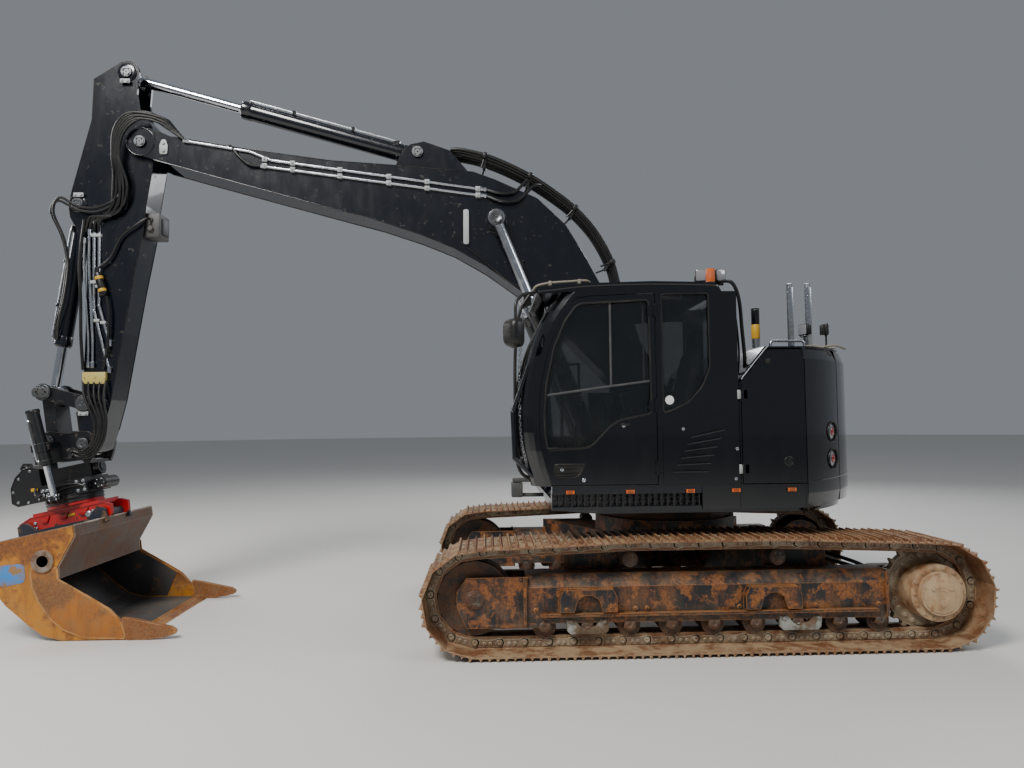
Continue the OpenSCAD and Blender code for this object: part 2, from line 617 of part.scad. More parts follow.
module work_lamps() color(dark) {
    box(1297.3, 1330, lamp_y - 30, lamp_y + 30, 2783, 2806);
    box(1325, 1405, lamp_y - 50, lamp_y + 50, 2711, 2800);
    for (x = [-8, -170]) box(x - 80, x, lamp_y - 60, lamp_y + 40, roof_z + 20, roof_z + 120);
    box(-240, -20, lamp_y - 25, lamp_y + 5, roof_z + 8, roof_z + 21);
    box(-70, -20, lamp_y - 25, lamp_y + 5, roof_z - 20, roof_z + 9);
    for (x = [-975, -1165]) {
        box(x - 105, x, 850, 960, 2500, 2600);
        box(x - 60, x - 45, 898, 913, hood_z + seat_gap, 2501);
    }
}
module amber_lamps() color("#e8820c") {
    translate([-104, lamp_y + 90, roof_z - 10]) cylinder(r = 36, h = 130);
    for (p = [[1063, 6], [601, 6], [137, 6], [-220, 0], [-657, 0]])
        translate([p.x, body_half + p.y, skirt_z]) box(-32, 32, seat_gap, 14, -56, -30);
}
module rear_lamps() color("#c8c4bc") sides() for (z = lamp_zs) translate([lamp_at.x, lamp_at.y, z])
    rotate([0, 0, atan2(lamp_at.y, lamp_at.x)]) translate([-40 + seat_gap, 0, 0]) rotate([0, 90, 0])
        cylinder(r = 70, h = 30);

// Cab door with its pane
door_hinge = [door_rear + 4, body_half + 13];
hinge_zs = [1420, 1900, 2640];
module cab_door() color(black) {
    difference() {
        slab(body_half - door_t, body_half) polygon(door_line(0));
        slab(body_half - door_t - 1, body_half + 1) polygon(door_window);
    }
    knuckles(door_hinge, hinge_zs, door_rear + 60);
}
module door_glass() color([0.25, 0.4, 0.4, 0.5]) slab(body_half - 26, body_half - 26 + glass_t)
    polygon(pane(door_window));

// Boom: hollow box, open fork at its nose, cheeks on its back for the arm's cylinder
boom_under = [[110, 1745], [1351, 3016], [1680, 3253], [1990, 3432], [2302, 3560], [2690, 3690],
    [3061, 3790], [4279, 4126], [4790, 4270]];
boom_over = [[4820, 4570], [4629, 4490], [3933, 4377], [3156, 4270], [2500, 4225], [1806, 4164],
    [1597, 4087], [1199, 3909], [930, 3650], [722, 3300], [10, 1980]];
boom_tip_r = 128;
throat_r = 335;
module boom() color(black) difference() {
    union() {
        slab(-boom_w / 2, boom_w / 2) {
            polygon(concat(boom_under, boom_over));
            translate(arm_pivot) circle(r = boom_tip_r);
            polygon([[4790, 4270], [4921, 4316], [4921, 4572], [4820, 4570]]);
        }
        bar(boom_foot, 160, -boom_w / 2 - 11, boom_w / 2 + 11);
        bar(boom_rod_pin, 95, -cyl_y + eye_w / 2 + 10, cyl_y - eye_w / 2 - 10);
        slab(-165, 165) polygon([[2560, 4200], [2475, 4394], [2402, 4445], [2274, 4473], [2027, 4386],
            [1811, 4130]]);
    }
    slab(-boom_w / 2 + boom_plate, boom_w / 2 - boom_plate) difference() {
        polygon(concat([for (p = boom_under) if (p.x > 200) p + [0, boom_plate]],
            [[5100, 4290], [5100, 4600]], [for (p = boom_over) if (p.x > 600) p - [0, boom_plate]]));
        translate(boom_rod_pin) circle(r = 95);
        translate(arm_cyl_foot) circle(r = 200);
    }
    bar(arm_pivot, throat_r, -boom_w / 2 + boom_plate, boom_w / 2 - boom_plate);
    slab(-94, 94) polygon([[2700, 4243], [2600, 4600], [2200, 4600], [2150, 4330], [2260, 4262]]);
    bar(boom_foot, pin_rad + pin_gap, -body_half, body_half);
    bar(arm_pivot, pin_rad + pin_gap, -body_half, body_half);
    bar(arm_cyl_foot, pin_rad + pin_gap, -body_half, body_half);
}
module boom_pins() color(steel) {
    bar(arm_pivot, pin_rad, -boom_w / 2 - 14, boom_w / 2 + 14);
    bar(arm_cyl_foot, pin_rad, -178, 178);
}
// Two steel lines along the left of the boom
pipe_y = boom_w / 2 + 15;
pipe_clamps = [1760, 2600, 3500];
module boom_pipes() color("#9aa0a6") {
    tube([[1720, pipe_y, 3990], [3700, pipe_y, 4262], [3900, pipe_y, 4345], [4470, pipe_y, 4440]], 13);
    tube([[1720, pipe_y, 3930], [3750, pipe_y, 4200]], 13);
    for (x = pipe_clamps) translate([x, 0, 3905 + (x - 1720) * 0.136])
        box(-20, 20, boom_w / 2 + seat_gap, boom_w / 2 + 8, 0, 105 + (x - 1720) * 0.003);
}

// A cylinder's barrel and rod along its own axis: from its foot pin at a towards its rod's eye at b
module along(a, b) translate([a.x, 0, a.y]) rotate([0, -atan2(b.y - a.y, b.x - a.x), 0]) children();
gland_gap = 0.6;
neck_len = 60;
module barrel(r, rod_r, length, eye_r, w) {
    start = eye_r + neck_len;
    difference() {
        union() {
            translate([start, 0, 0]) rotate([0, 90, 0]) cylinder(r = r, h = length - start);
            rotate([90, 0, 0]) translate([0, 0, -w / 2]) linear_extrude(w) {
                circle(r = eye_r);
                polygon([[0, -eye_r * 0.8], [start + 5, -r * 0.8], [start + 5, r * 0.8], [0, eye_r * 0.8]]);
            }
        }
        translate([start + 20, 0, 0]) rotate([0, 90, 0]) cylinder(r = rod_r + gland_gap, h = length);
        rotate([90, 0, 0]) translate([0, 0, -w]) cylinder(r = pin_rad + pin_gap, h = 2 * w);
    }
}
// The rod's eye carries its own short pin, since the linkage is open there
module rod(r, start, length, eye_r, w, pin_half) union() {
    translate([start, 0, 0]) rotate([0, 90, 0]) cylinder(r = r, h = length - start - eye_r * 0.8);
    translate([length, 0, 0]) rotate([90, 0, 0]) {
        translate([0, 0, -w / 2]) cylinder(r = eye_r, h = w);
        translate([0, 0, -pin_half]) cylinder(r = pin_rad, h = 2 * pin_half);
    }
}
boom_cyl_len = norm(boom_rod_pin - boom_cyl_foot);
boom_barrel_len = 1480;
module boom_barrels() color(dark) sides() translate([0, cyl_y, 0]) along(boom_cyl_foot, boom_rod_pin)
    barrel(boom_barrel_r, boom_rod_r, boom_barrel_len, 78, eye_w);
module boom_rods() color(steel) sides() translate([0, cyl_y, 0]) along(boom_cyl_foot, boom_rod_pin)
    rod(boom_rod_r, 960, boom_cyl_len, 78, eye_w, eye_w / 2 + 8);

// Arm: hollow box, open at its head for the cylinder's rod
arm_front = [[5385, 5070], [5397, 4670], [5562, 4009], [5592, 3860], [5575, 3740], [5500, 3600],
    [5410, 3400], [5403, 2952], [5411, 2486], [5419, 2024], [5440, 1700], [5480, 1600]];
arm_back = [[5290, 1560], [5235, 1743], [5166, 2022], [5078, 2573], [5000, 3061], [4911, 3554], [4880, 3849],
    [4822, 4250], [4800, 4500], [4850, 4640], [4958, 4760], [4985, 4924], [4970, 5142], [5127, 5240]];
arm_tip_r = 112;
cheek = 28;
module arm() color(black) difference() {
    union() {
        slab(-arm_w / 2, arm_w / 2) {
            polygon(concat(arm_front, arm_back));
            translate(arm_rod_pin) circle(r = 112);
        }
        bar(tip_pin, arm_tip_r, -arm_w / 2, arm_w / 2);
        bar(arm_pivot, 118, -boom_w / 2 + boom_plate + 5, boom_w / 2 - boom_plate - 5);
        bar(arm_rod_pin, 84, -arm_w / 2 - 12, arm_w / 2 + 12);
    }
    slab(-arm_w / 2 + cheek, arm_w / 2 - cheek) {
        polygon([[5365, 5300], [4800, 5300], [4800, 4820], [5030, 4640], [5200, 4640], [5365, 4760]]);
        polygon([[5560, 4060], [5700, 4060], [5700, 3380], [5410, 3380], [5400, 3600], [5390, 3960],
            [5440, 4060]]);
        polygon([[5180, 4150], [5300, 4150], [5340, 3900], [5350, 3400], [5380, 3300], [5380, 2150],
            [5190, 2150], [5130, 2600], [5040, 3150], [4960, 3600], [4950, 4100]]);
    }
    bar(arm_pivot, pin_rad + pin_gap, -body_half, body_half);
    bar(arm_rod_pin, pin_rad + pin_gap, -body_half, body_half);
    bar(tip_pin, pin_rad + pin_gap, -body_half, body_half);
    bar(guide_pin, pin_rad + pin_gap, -body_half, body_half);
    bar(bucket_cyl_foot, pin_rad + pin_gap, -body_half, body_half);
}
hitch_y = arm_w / 2 + 6;
hitch_t = 36;
module arm_pins() color(steel) {
    sides() bar(arm_rod_pin, pin_rad, arm_w / 2 - cheek, arm_w / 2 + 20);
    bar(bucket_cyl_foot, pin_rad, -arm_w / 2 - 14, arm_w / 2 + 14);
    bar(guide_pin, pin_rad, -arm_w / 2 - 50, arm_w / 2 + 50);
    bar(tip_pin, pin_rad, -hitch_y - hitch_t - 16, hitch_y + hitch_t + 16);
}
module arm_pipes() color("#9aa0a6") {
    y = arm_w / 2 + 16;
    tube([[5345, y, 3700], [5330, y, 2854], [5232, y, 2482], [5180, y, 2300]], 14);
    tube([[5300, y, 3700], [5285, y, 2900], [5180, y, 2550]], 14);
}
arm_cyl_len = norm(arm_rod_pin - arm_cyl_foot);
arm_eye_r = 84;
arm_eye_w = 160;
module arm_barrel() color(dark) along(arm_cyl_foot, arm_rod_pin)
    barrel(arm_barrel_r, arm_rod_r, 1760, arm_eye_r, arm_eye_w);
module arm_rod() color(steel) along(arm_cyl_foot, arm_rod_pin)
    rod(arm_rod_r, 1160, arm_cyl_len, arm_eye_r, arm_eye_w, arm_w / 2 - cheek - 8);
bucket_cyl_len = norm(link_joint - bucket_cyl_foot);
curl_eye_r = 74;
module bucket_barrel() color(dark) along(bucket_cyl_foot, link_joint)
    barrel(bucket_barrel_r, bucket_rod_r, 1340, curl_eye_r, 140);
module bucket_rod() color(steel) along(bucket_cyl_foot, link_joint)
    rod(bucket_rod_r, 860, bucket_cyl_len, curl_eye_r - 4, 84, 42);

// A flat link between two pins, with a bore of its own radius at each
module link(a, b, ra, rb) {
    d = (b - a) / norm(b - a);
    n = [-d.y, d.x];
    translate(a) circle(r = ra);
    translate(b) circle(r = rb);
    polygon([a + n * ra * 0.8, b + n * rb * 0.8, b - n * rb * 0.8, a - n * ra * 0.8]);
}
// Two guide links outside the arm; the linkage is open at their front ends
tie_half = 118;
fork_half = 50;
module guide_links() color(black) sides() {
    difference() {
        slab(arm_w / 2 + 6, arm_w / 2 + 40) link(guide_pin, link_joint, 78, 78);
        bar(guide_pin, pin_rad + pin_gap, 0, body_half);
    }
    bar(link_joint, pin_rad, tie_half + 6, arm_w / 2 + 54);
}
module tie_link() color(black) difference() {
    slab(-tie_half, tie_half) link(link_joint, hitch_link_pin, 66, 66);
    slab(-fork_half, fork_half) translate(link_joint) circle(r = 150);
    bar(hitch_link_pin, pin_rad + pin_gap, -body_half, body_half);
}

// Hitch: plates on the arm's pin and the link's pin, with two lugs down to the tilting axle
axle_r = 40;
lug_r = 70;
trunnion_y = 360;
trunnion_n = -30;
trunnion_r = 20;
function to_tool(p) = let (d = p - tip_pin)
    [d.x * cos(tool_pitch) - d.y * sin(tool_pitch), -d.x * sin(tool_pitch) - d.y * cos(tool_pitch)];
link_hole = to_tool(hitch_link_pin);
module across(u, n, r, y0, y1) translate([u, y0, n]) rotate([-90, 0, 0]) cylinder(r = r, h = y1 - y0);
module lengthwise(y, n, r, u0, u1) translate([u0, y, n]) rotate([0, 90, 0]) cylinder(r = r, h = u1 - u0);
module hitch() color(black) in_tool() {
    difference() {
        union() {
            sides() slab(hitch_y, hitch_y + hitch_t) polygon([[-108, 10], [-95, -60], [-60, -100],
                [0, -112], [120, -118], [260, -168], [340, -172], [390, -120], [396, -40], [455, 40],
                [455, 100], [60, 135], [29, 148], [22, 186], [-27, 186], [-70, 110]]);
            box(130, 455, -hitch_y - 1, hitch_y + 1, 60, 100);
            box(-27, 27, -hitch_y - 1, hitch_y + 1, 156, 186);
            lengthwise(0, tilt_n, lug_r, -28, 28);
            lengthwise(0, tilt_n, lug_r, 400, 454);
            box(400, 454, -50, 50, 99, tilt_n);
            across(link_hole.x, link_hole.y, pin_rad, -hitch_y - hitch_t - 8, hitch_y + hitch_t + 8);
            sides() for (s = [-1, 1]) translate([turn_u + s * 70, 0, 0])
                box(-9, 9, hitch_y + hitch_t - 2, trunnion_y + 30, trunnion_n - 32, trunnion_n + 32);
        }
        across(0, 0, pin_rad + pin_gap, -300, 300);
        lengthwise(0, tilt_n, axle_r + pin_gap, -60, 500);
        sides() lengthwise(trunnion_y, trunnion_n, trunnion_r + pin_gap, 0, 600);
    }
}

// Turning housing hung on the tilting axle, with its motor behind and a domed nose in front
eye_n = 440;
eye_y = 310;
tilt_pin_r = 25;
tilt_rod_r = 28;
tilt_eye_r = 40;
neck_r = 235;
flange_n = 500;
module tilt_housing() color(dark) in_tool() {
    lengthwise(0, tilt_n, axle_r, -36, 500);
    box(34, 386, -85, 85, tilt_n - 60, 310);
    box(36, 470, -200, 200, 300, 440);
    slab(-150, 150) polygon([[462, 300], [462, 140], [520, 100], [600, 112], [680, 172], [735, 262],
        [748, 400], [700, 438], [462, 438]]);
    difference() {
        slab(-22, 22) polygon([[590, 130], [612, 60], [665, 48], [700, 85], [690, 200]]);
        across(654, 92, 22, -40, 40);
    }
    translate([turn_u, 0, 430]) cylinder(r = neck_r, h = flange_n - 430);
    across(-45, 378, 56, -118, 118);
    box(-45, 40, -95, 95, 330, 430);
    sides() for (s = [-1, 1]) translate([turn_u + s * 51, 0, 0]) difference() {
        union() {
            box(-10, 10, 190, eye_y, eye_n - 26, eye_n + 30);
            lengthwise(eye_y, eye_n, tilt_eye_r, -10, 10);
        }
        lengthwise(eye_y, eye_n, tilt_pin_r + seat_gap, -60, 60);
    }
}
module tilt_barrel(s) color(dark) in_tool() translate([turn_u, s * trunnion_y, trunnion_n])
    rotate([s * tilt_lean, 0, 0]) difference() {
        union() {
            translate([0, 0, -345]) cylinder(r = 52, h = 510);
            lengthwise(0, 0, trunnion_r, -82, 82);
        }
        translate([0, 0, -323]) cylinder(r = tilt_rod_r + gland_gap, h = 520);
    }
module tilt_barrel_left() tilt_barrel(1);
module tilt_barrel_right() tilt_barrel(-1);
tilt_len = norm([trunnion_y - eye_y, eye_n - trunnion_n]);
tilt_lean = atan((trunnion_y - eye_y) / (eye_n - trunnion_n));
module tilt_rod(s) color(steel) in_tool() translate([turn_u, s * trunnion_y, trunnion_n])
    rotate([s * tilt_lean, 0, 0]) {
    translate([0, 0, tilt_len - 560]) cylinder(r = tilt_rod_r, h = 535);
    translate([0, 0, tilt_len]) {
        lengthwise(0, 0, tilt_eye_r, -35, 35);
        lengthwise(0, 0, tilt_pin_r, -38, 38);
    }
}
module tilt_rod_left() tilt_rod(1);
module tilt_rod_right() tilt_rod(-1);

// Red coupler: two plates notched over the bucket's bars, below a turning disc
lock_n = 662;
lock_u = [-40, 640];
lock_r = 35;
module coupler() color("#c8201c") in_tool() difference() {
    union() {
        translate([turn_u, 0, flange_n + seat_gap]) cylinder(r = neck_r - 5, h = 34);
        box(-30, 570, -176, 176, 532, 575);
        sides() slab(135, 175) polygon([[-130, 590], [-60, 556], [600, 556], [705, 600], [705, 680],
            [650, 700], [560, 690], [60, 690], [0, 700], [-80, 700], [-122, 680]]);
    }
    for (u = lock_u) across(u, lock_n, lock_r + seat_gap, -300, 300);
}

// Bucket in the machine's frame, [forward, up]: outline of its side plates and of the hollow between them
bucket_floor = 5;
bucket_back = [[4700, bucket_floor], [5240, bucket_floor], [5390, 48], [5500, 127], [5692, 292], [5850, 480],
    [5960, 640], [6015, 770]];
bucket_front = [[5175, 950], [5160, 860], [5290, 610], [5280, 503], [5011, 352], [4847, 252], [4740, 145]];
bucket_in = [[4500, bucket_floor + bucket_t], [5236, bucket_floor + bucket_t], [5380, 68], [5487, 144],
    [5675, 307], [5831, 493], [5940, 650], [5986, 753], [5197, 926], [5183, 862], [5312, 612], [4500, 612]];
bucket_ear = [5400, 660];
ear_bore = 46;
plate_n = 713;
side_in = bucket_w / 2 - bucket_t;
lock_half = 222;
// Wrapper with the hanger: two bars between two plates
module bucket() color("#20242c") {
    slab(-side_in, side_in) difference() {
        polygon(concat(bucket_back, bucket_front));
        polygon(bucket_in);
    }
    in_tool() {
        for (u = lock_u) across(u, lock_n, lock_r, -lock_half, lock_half);
        sides() slab(lock_half - 32, lock_half) polygon([[-95, plate_n + 20], [-95, lock_n - 40],
            [-60, lock_n - 62], [-20, lock_n - 62], [20, lock_n - 40], [60, lock_n + 20], [540, lock_n + 20],
            [590, lock_n - 40],
            [620, lock_n - 62], [660, lock_n - 62], [695, lock_n - 40], [700, plate_n + 20]]);
    }
}
module bucket_side() difference() {
    union() {
        slab(side_in, bucket_w / 2) polygon(concat(bucket_back, bucket_front));
        bar(bucket_ear, 93, side_in, bucket_w / 2 + 16);
    }
    bar(bucket_ear, ear_bore, 0, body_half);
}
module bucket_side_left() color(rust) bucket_side();
module bucket_side_right() color(rust) mirror([0, 1, 0]) bucket_side();
// Lip with the two long corner blades
module bucket_edge() color(rust) {
    slab(-side_in + 8.3, side_in - 8.3) polygon([[4590, 3], [4699.7, 3], [4699.7, 34], [4640, 34]]);
    sides() slab(side_in - 8, bucket_w / 2 + 14) polygon([[4699.5, 3], [4739.5, 146], [4739.5, 186],
        [4650, 172], [4480, 134], [4340, 104], [4296, 74], [4306, 44], [4400, 20], [4520, 6], [4640, 3]]);
}

carbody();
track_frame_left();
track_frame_right();
track_left();
track_right();
idlers();
sprockets();
final_drives();
lower_rollers();
carrier_rollers();
slewing_ring();
platform();
counterweight();
engine_block();
skirts();
step_sill();
cab_shell();
cab_roof();
cab_glass();
cab_vent_panel();
seat_cushions();
cab_controls();
right_tanks();
rear_walls();
stack_and_masts();
handrails();
mirrors();
work_lamps();
amber_lamps();
rear_lamps();
cab_door();
door_glass();
service_door();
pump_door();
engine_hood();
boom();
boom_pins();
boom_pipes();
boom_barrels();
boom_rods();
arm();
arm_pins();
arm_pipes();
arm_barrel();
arm_rod();
hitch();
guide_links();
tie_link();
bucket_barrel();
bucket_rod();
tilt_housing();
tilt_barrel_left();
tilt_barrel_right();
tilt_rod_left();
tilt_rod_right();
coupler();
bucket();
bucket_side_left();
bucket_side_right();
bucket_edge();
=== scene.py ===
import bpy
import bmesh
import math
import numpy as np
from functools import partial
from mathutils import Matrix


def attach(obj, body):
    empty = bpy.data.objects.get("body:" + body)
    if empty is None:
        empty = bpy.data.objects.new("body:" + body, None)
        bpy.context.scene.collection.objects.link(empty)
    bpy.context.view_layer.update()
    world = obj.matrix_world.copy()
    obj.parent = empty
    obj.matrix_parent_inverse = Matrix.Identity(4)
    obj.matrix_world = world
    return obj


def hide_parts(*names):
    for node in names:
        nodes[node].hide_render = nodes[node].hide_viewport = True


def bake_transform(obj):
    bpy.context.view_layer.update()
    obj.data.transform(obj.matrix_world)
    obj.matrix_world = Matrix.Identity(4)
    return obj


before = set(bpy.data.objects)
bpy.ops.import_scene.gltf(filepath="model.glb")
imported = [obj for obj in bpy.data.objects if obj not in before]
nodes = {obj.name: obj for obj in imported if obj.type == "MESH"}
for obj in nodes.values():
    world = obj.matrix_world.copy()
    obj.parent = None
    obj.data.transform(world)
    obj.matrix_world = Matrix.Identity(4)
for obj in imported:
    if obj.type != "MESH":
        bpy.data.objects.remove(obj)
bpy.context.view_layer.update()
print("frame loaded")


# colours and nodes

def hexToLinear(code):
    # sRGB hex to linear: c/12.92 up to 0.04045, else ((c+0.055)/1.055)^2.4
    c = np.array([int(code[i:i + 2], 16) / 255 for i in (1, 3, 5)])
    c = np.where(c <= 0.04045, c / 12.92, ((c + 0.055) / 1.055) ** 2.4)
    return (*c.tolist(), 1.0)


def setInputs(tree, node, inputs):
    # an input that is a socket is linked, any other value is set on it
    for key, value in inputs.items():
        if isinstance(value, bpy.types.NodeSocket):
            tree.links.new(value, node.inputs[key])
        else:
            node.inputs[key].default_value = hexToLinear(value) if isinstance(value, str) else value


def addNode(tree, kind, inputs=None, out=0, **settings):
    # one node with its settings and links
    node = tree.nodes.new("ShaderNode" + kind)
    for key, value in settings.items():
        setattr(node, key, value)
    setInputs(tree, node, inputs or {})
    return node.outputs[out] if node.outputs else node


def startMaterial(name, **shader):
    mat = bpy.data.materials.new(name)
    mat.use_nodes = True
    mat.node_tree.nodes.clear()
    add = partial(addNode, mat.node_tree)
    bsdf = add("BsdfPrincipled", shader)
    add("OutputMaterial", {"Surface": bsdf})
    return mat, add, bsdf.node


def blotches(add, size, low, high, detail=4.0, rough=0.55, stretch=(1, 1, 1), shift=(0, 0, 0)):
    # soft 0..1 mask: noise with blotches about size metres across, cut between low and high
    spot = add("Mapping", {"Vector": add("TexCoord", out="Object"), "Scale": stretch, "Location": shift})
    noise = add("TexNoise", {"Vector": spot, "Scale": 0.5 / size, "Detail": detail, "Roughness": rough})
    return add("MapRange", {"Value": noise, "From Min": low, "From Max": high},
               interpolation_type="SMOOTHSTEP")


def lookingUp(add):
    # 1 where the face looks up, by the upright part of its normal
    z = add("SeparateXYZ", {0: add("NewGeometry", out="Normal")}, 2)
    return add("MapRange", {"Value": z, "From Min": 0.3, "From Max": 0.95})


def lowDown(add, low, high):
    # 1 under the height low, 0 above high, in metres
    z = add("SeparateXYZ", {0: add("TexCoord", out="Object")}, 2)
    return add("MapRange", {"Value": z, "From Min": low, "From Max": high, "To Min": 1.0, "To Max": 0.0})


def wornRims(add, radius):
    # 1 on the rims: where the normal rounded over radius metres turns from the face's own, broken up by noise
    turned = add("VectorMath", {0: add("Bevel", {"Radius": radius}, samples=3),
                                1: add("NewGeometry", out="Normal")}, 1, operation="DOT_PRODUCT")
    rim = add("MapRange", {"Value": turned, "From Min": 0.995, "From Max": 0.9})
    return add("Math", {0: rim, 1: blotches(add, 0.06, 0.38, 0.5, 6)}, operation="MULTIPLY")


def closeMaterial(mat, add, bsdf, colour, rough, height=None, strength=0.0, depth=0.0, rounding=0.0):
    # colour, roughness, a bump of depth metres and rims softened over rounding metres
    soft = {"Normal": add("Bevel", {"Radius": rounding}, samples=3)} if rounding else {}
    if height is not None:
        soft = {"Normal": add("Bump", {"Height": height, "Strength": strength, "Distance": depth, **soft})}
    setInputs(mat.node_tree, bsdf, {"Base Color": colour, "Roughness": rough, **soft})
    return mat


# finishes: each is named for what the real one is

def enamel(name, colour, rough, coat, dust="#8a8174", dustShare=0.35, dustLow=1.0, dustHigh=1.9, chips=0.0,
           bare="#6b4a33", chipSize=0.03):
    # enamel sprayed on plate: a wet gloss with faint orange peel, dulled by road dust on top and low down,
    # chipped to rust along its rims where it works
    mat, add, bsdf = startMaterial(name, **{"IOR": 1.5, "Coat Weight": coat, "Coat Roughness": 0.04})
    film = blotches(add, 0.35, 0.35, 0.75, 6)
    lies = add("Math", {0: lowDown(add, dustLow, dustHigh), 1: lookingUp(add)}, operation="MAXIMUM")
    patchy = add("Math", {0: film, 1: 0.7, 2: 0.3}, operation="MULTIPLY_ADD")
    lies = add("Math", {0: lies, 1: patchy}, operation="MULTIPLY")
    thin = add("Math", {0: film, 1: 0.08, 2: lies}, operation="MULTIPLY_ADD")
    share = add("Math", {0: thin, 1: dustShare}, operation="MULTIPLY")
    shade = add("Mix", {0: share, 6: colour, 7: dust}, 2, data_type="RGBA")
    wiped = add("Math", {0: blotches(add, 0.05, 0.35, 0.75, 6, stretch=(1, 1, 0.4)), 1: 0.06, 2: rough},
                operation="MULTIPLY_ADD")
    gloss = add("Math", {0: share, 1: 0.9, 2: wiped}, operation="MULTIPLY_ADD")
    if chips:
        spots = blotches(add, chipSize, 0.62 - 0.06 * chips, 0.66 - 0.06 * chips, 9, 0.7)
        spots = add("Math", {0: spots, 1: wornRims(add, 0.006)}, operation="MAXIMUM")
        shade = add("Mix", {0: spots, 6: shade, 7: bare}, 2, data_type="RGBA")
        dull = add("Math", {0: spots, 1: 0.7}, operation="MULTIPLY")
        gloss = add("Math", {0: gloss, 1: dull}, operation="MAXIMUM")
    # orange peel, about 4 mm from crest to crest
    skin = add("TexNoise", {"Vector": add("TexCoord", out="Object"), "Scale": 220.0, "Detail": 2.0})
    return closeMaterial(mat, add, bsdf, shade, gloss, skin, strength=0.05, depth=0.0006, rounding=0.003)


def workedSteel(name, paint, rust, mud, paintShare=0.5, mudTop=0.75, mudShare=0.8, gloss=0.62, patch=0.16,
                bright="#8b8378", brightShare=0.5, dark="#33211a"):
    # rolled or cast steel that works in dirt: paint rubbed off to orange rust, dry mud low down and on top,
    # rims rubbed bright
    mat, add, bsdf = startMaterial(name, IOR=1.5)
    patches = blotches(add, patch, 0.56 - 0.16 * paintShare, 0.64 - 0.16 * paintShare, 10, 0.68)
    streaks = blotches(add, 0.05, 0.46, 0.62, 8, 0.7, stretch=(1, 1, 0.16))
    deep = add("Mix", {0: blotches(add, 0.3, 0.35, 0.7, 5), 6: dark, 7: "#5e3a22"}, 2, data_type="RGBA")
    rusty = add("Mix", {0: blotches(add, 0.01, 0.3, 0.72, 7, 0.7), 6: rust, 7: deep}, 2, data_type="RGBA")
    shade = add("Mix", {0: patches, 6: rusty, 7: paint}, 2, data_type="RGBA")
    runs = add("Math", {0: streaks, 1: 0.5}, operation="MULTIPLY")
    shade = add("Mix", {0: runs, 6: shade, 7: rusty}, 2, data_type="RGBA")
    splash = add("Math", {0: lowDown(add, 0.1, mudTop), 1: 0.7}, operation="MULTIPLY")
    lies = add("Math", {0: splash, 1: lookingUp(add)}, operation="MAXIMUM")
    clay = blotches(add, 0.07, 0.38, 0.62, 9, 0.62, shift=(3, 1, 2))
    lies = add("Math", {0: clay, 1: lies}, operation="MULTIPLY")
    share = add("Math", {0: lies, 1: mudShare}, operation="MULTIPLY")
    shade = add("Mix", {0: share, 6: shade, 7: mud}, 2, data_type="RGBA")
    rims = add("Math", {0: wornRims(add, 0.008), 1: brightShare}, operation="MULTIPLY")
    shade = add("Mix", {0: rims, 6: shade, 7: bright}, 2, data_type="RGBA")
    dry = add("Math", {0: share, 1: 0.25, 2: gloss}, operation="MULTIPLY_ADD")
    dull = add("Math", {0: rims, 1: -0.2, 2: dry}, operation="MULTIPLY_ADD")
    grit = add("TexNoise", {"Vector": add("TexCoord", out="Object"), "Scale": 90.0, "Detail": 9.0,
                            "Roughness": 0.7})
    crust = add("Math", {0: grit, 1: share}, operation="ADD")
    return closeMaterial(mat, add, bsdf, shade, dull, crust, strength=0.45, depth=0.004, rounding=0.003)


def bareMetal(name, colour, rough, dirtShare=0.2, grain=0.0):
    # hard chrome, zinc plate or ground steel: a clean mirror-like metal with greasy marks
    mat, add, bsdf = startMaterial(name, Metallic=1.0)
    film = blotches(add, 0.05, 0.45, 0.75, 7)
    marks = add("Math", {0: film, 1: dirtShare}, operation="MULTIPLY")
    shade = add("Mix", {0: marks, 6: colour, 7: "#3a3128"}, 2, data_type="RGBA")
    dull = add("Math", {0: film, 1: 0.25, 2: rough}, operation="MULTIPLY_ADD")
    # grinding lines 2 mm wide, coarse enough to show
    lines = blotches(add, 0.002, 0.3, 0.7, stretch=(1, 1, 8)) if grain else None
    return closeMaterial(mat, add, bsdf, shade, dull, lines, strength=grain, depth=0.0004, rounding=0.0015)


def moulded(name, colour, rough, coat=0.0, grain=0.25, dustShare=0.3, scale=600.0):
    # rubber, ABS or acrylic out of a mould: one even colour under a fine leathery grain, a little dust on top
    mat, add, bsdf = startMaterial(name, **{"IOR": 1.48, "Coat Weight": coat, "Coat Roughness": 0.05})
    flat = add("Math", {0: lookingUp(add), 1: 0.6}, operation="MULTIPLY")
    film = add("Math", {0: blotches(add, 0.09, 0.4, 0.8), 1: flat}, operation="MAXIMUM")
    film = add("Math", {0: film, 1: dustShare}, operation="MULTIPLY")
    shade = add("Mix", {0: film, 6: colour, 7: "#7d7466"}, 2, data_type="RGBA")
    dull = add("Math", {0: film, 1: 0.5, 2: rough}, operation="MULTIPLY_ADD")
    cells = add("TexVoronoi", {"Vector": add("TexCoord", out="Object"), "Scale": scale})
    return closeMaterial(mat, add, bsdf, shade, dull, cells, strength=grain, depth=0.0004, rounding=0.002)


def floatGlass(name, tint, alpha):
    # toughened float glass with a dark body tint: a hard clean reflection under a trace of grey dust
    mat, add, bsdf = startMaterial(name, **{"IOR": 1.52, "Coat Weight": 1.0, "Coat Roughness": 0.01,
                                            "Alpha": alpha})
    film = blotches(add, 0.25, 0.5, 0.85, 6)
    marks = add("Math", {0: film, 1: 0.1}, operation="MULTIPLY")
    shade = add("Mix", {0: marks, 6: tint, 7: "#8d877c"}, 2, data_type="RGBA")
    dull = add("Math", {0: film, 1: 0.08, 2: 0.02}, operation="MULTIPLY_ADD")
    return closeMaterial(mat, add, bsdf, shade, dull)


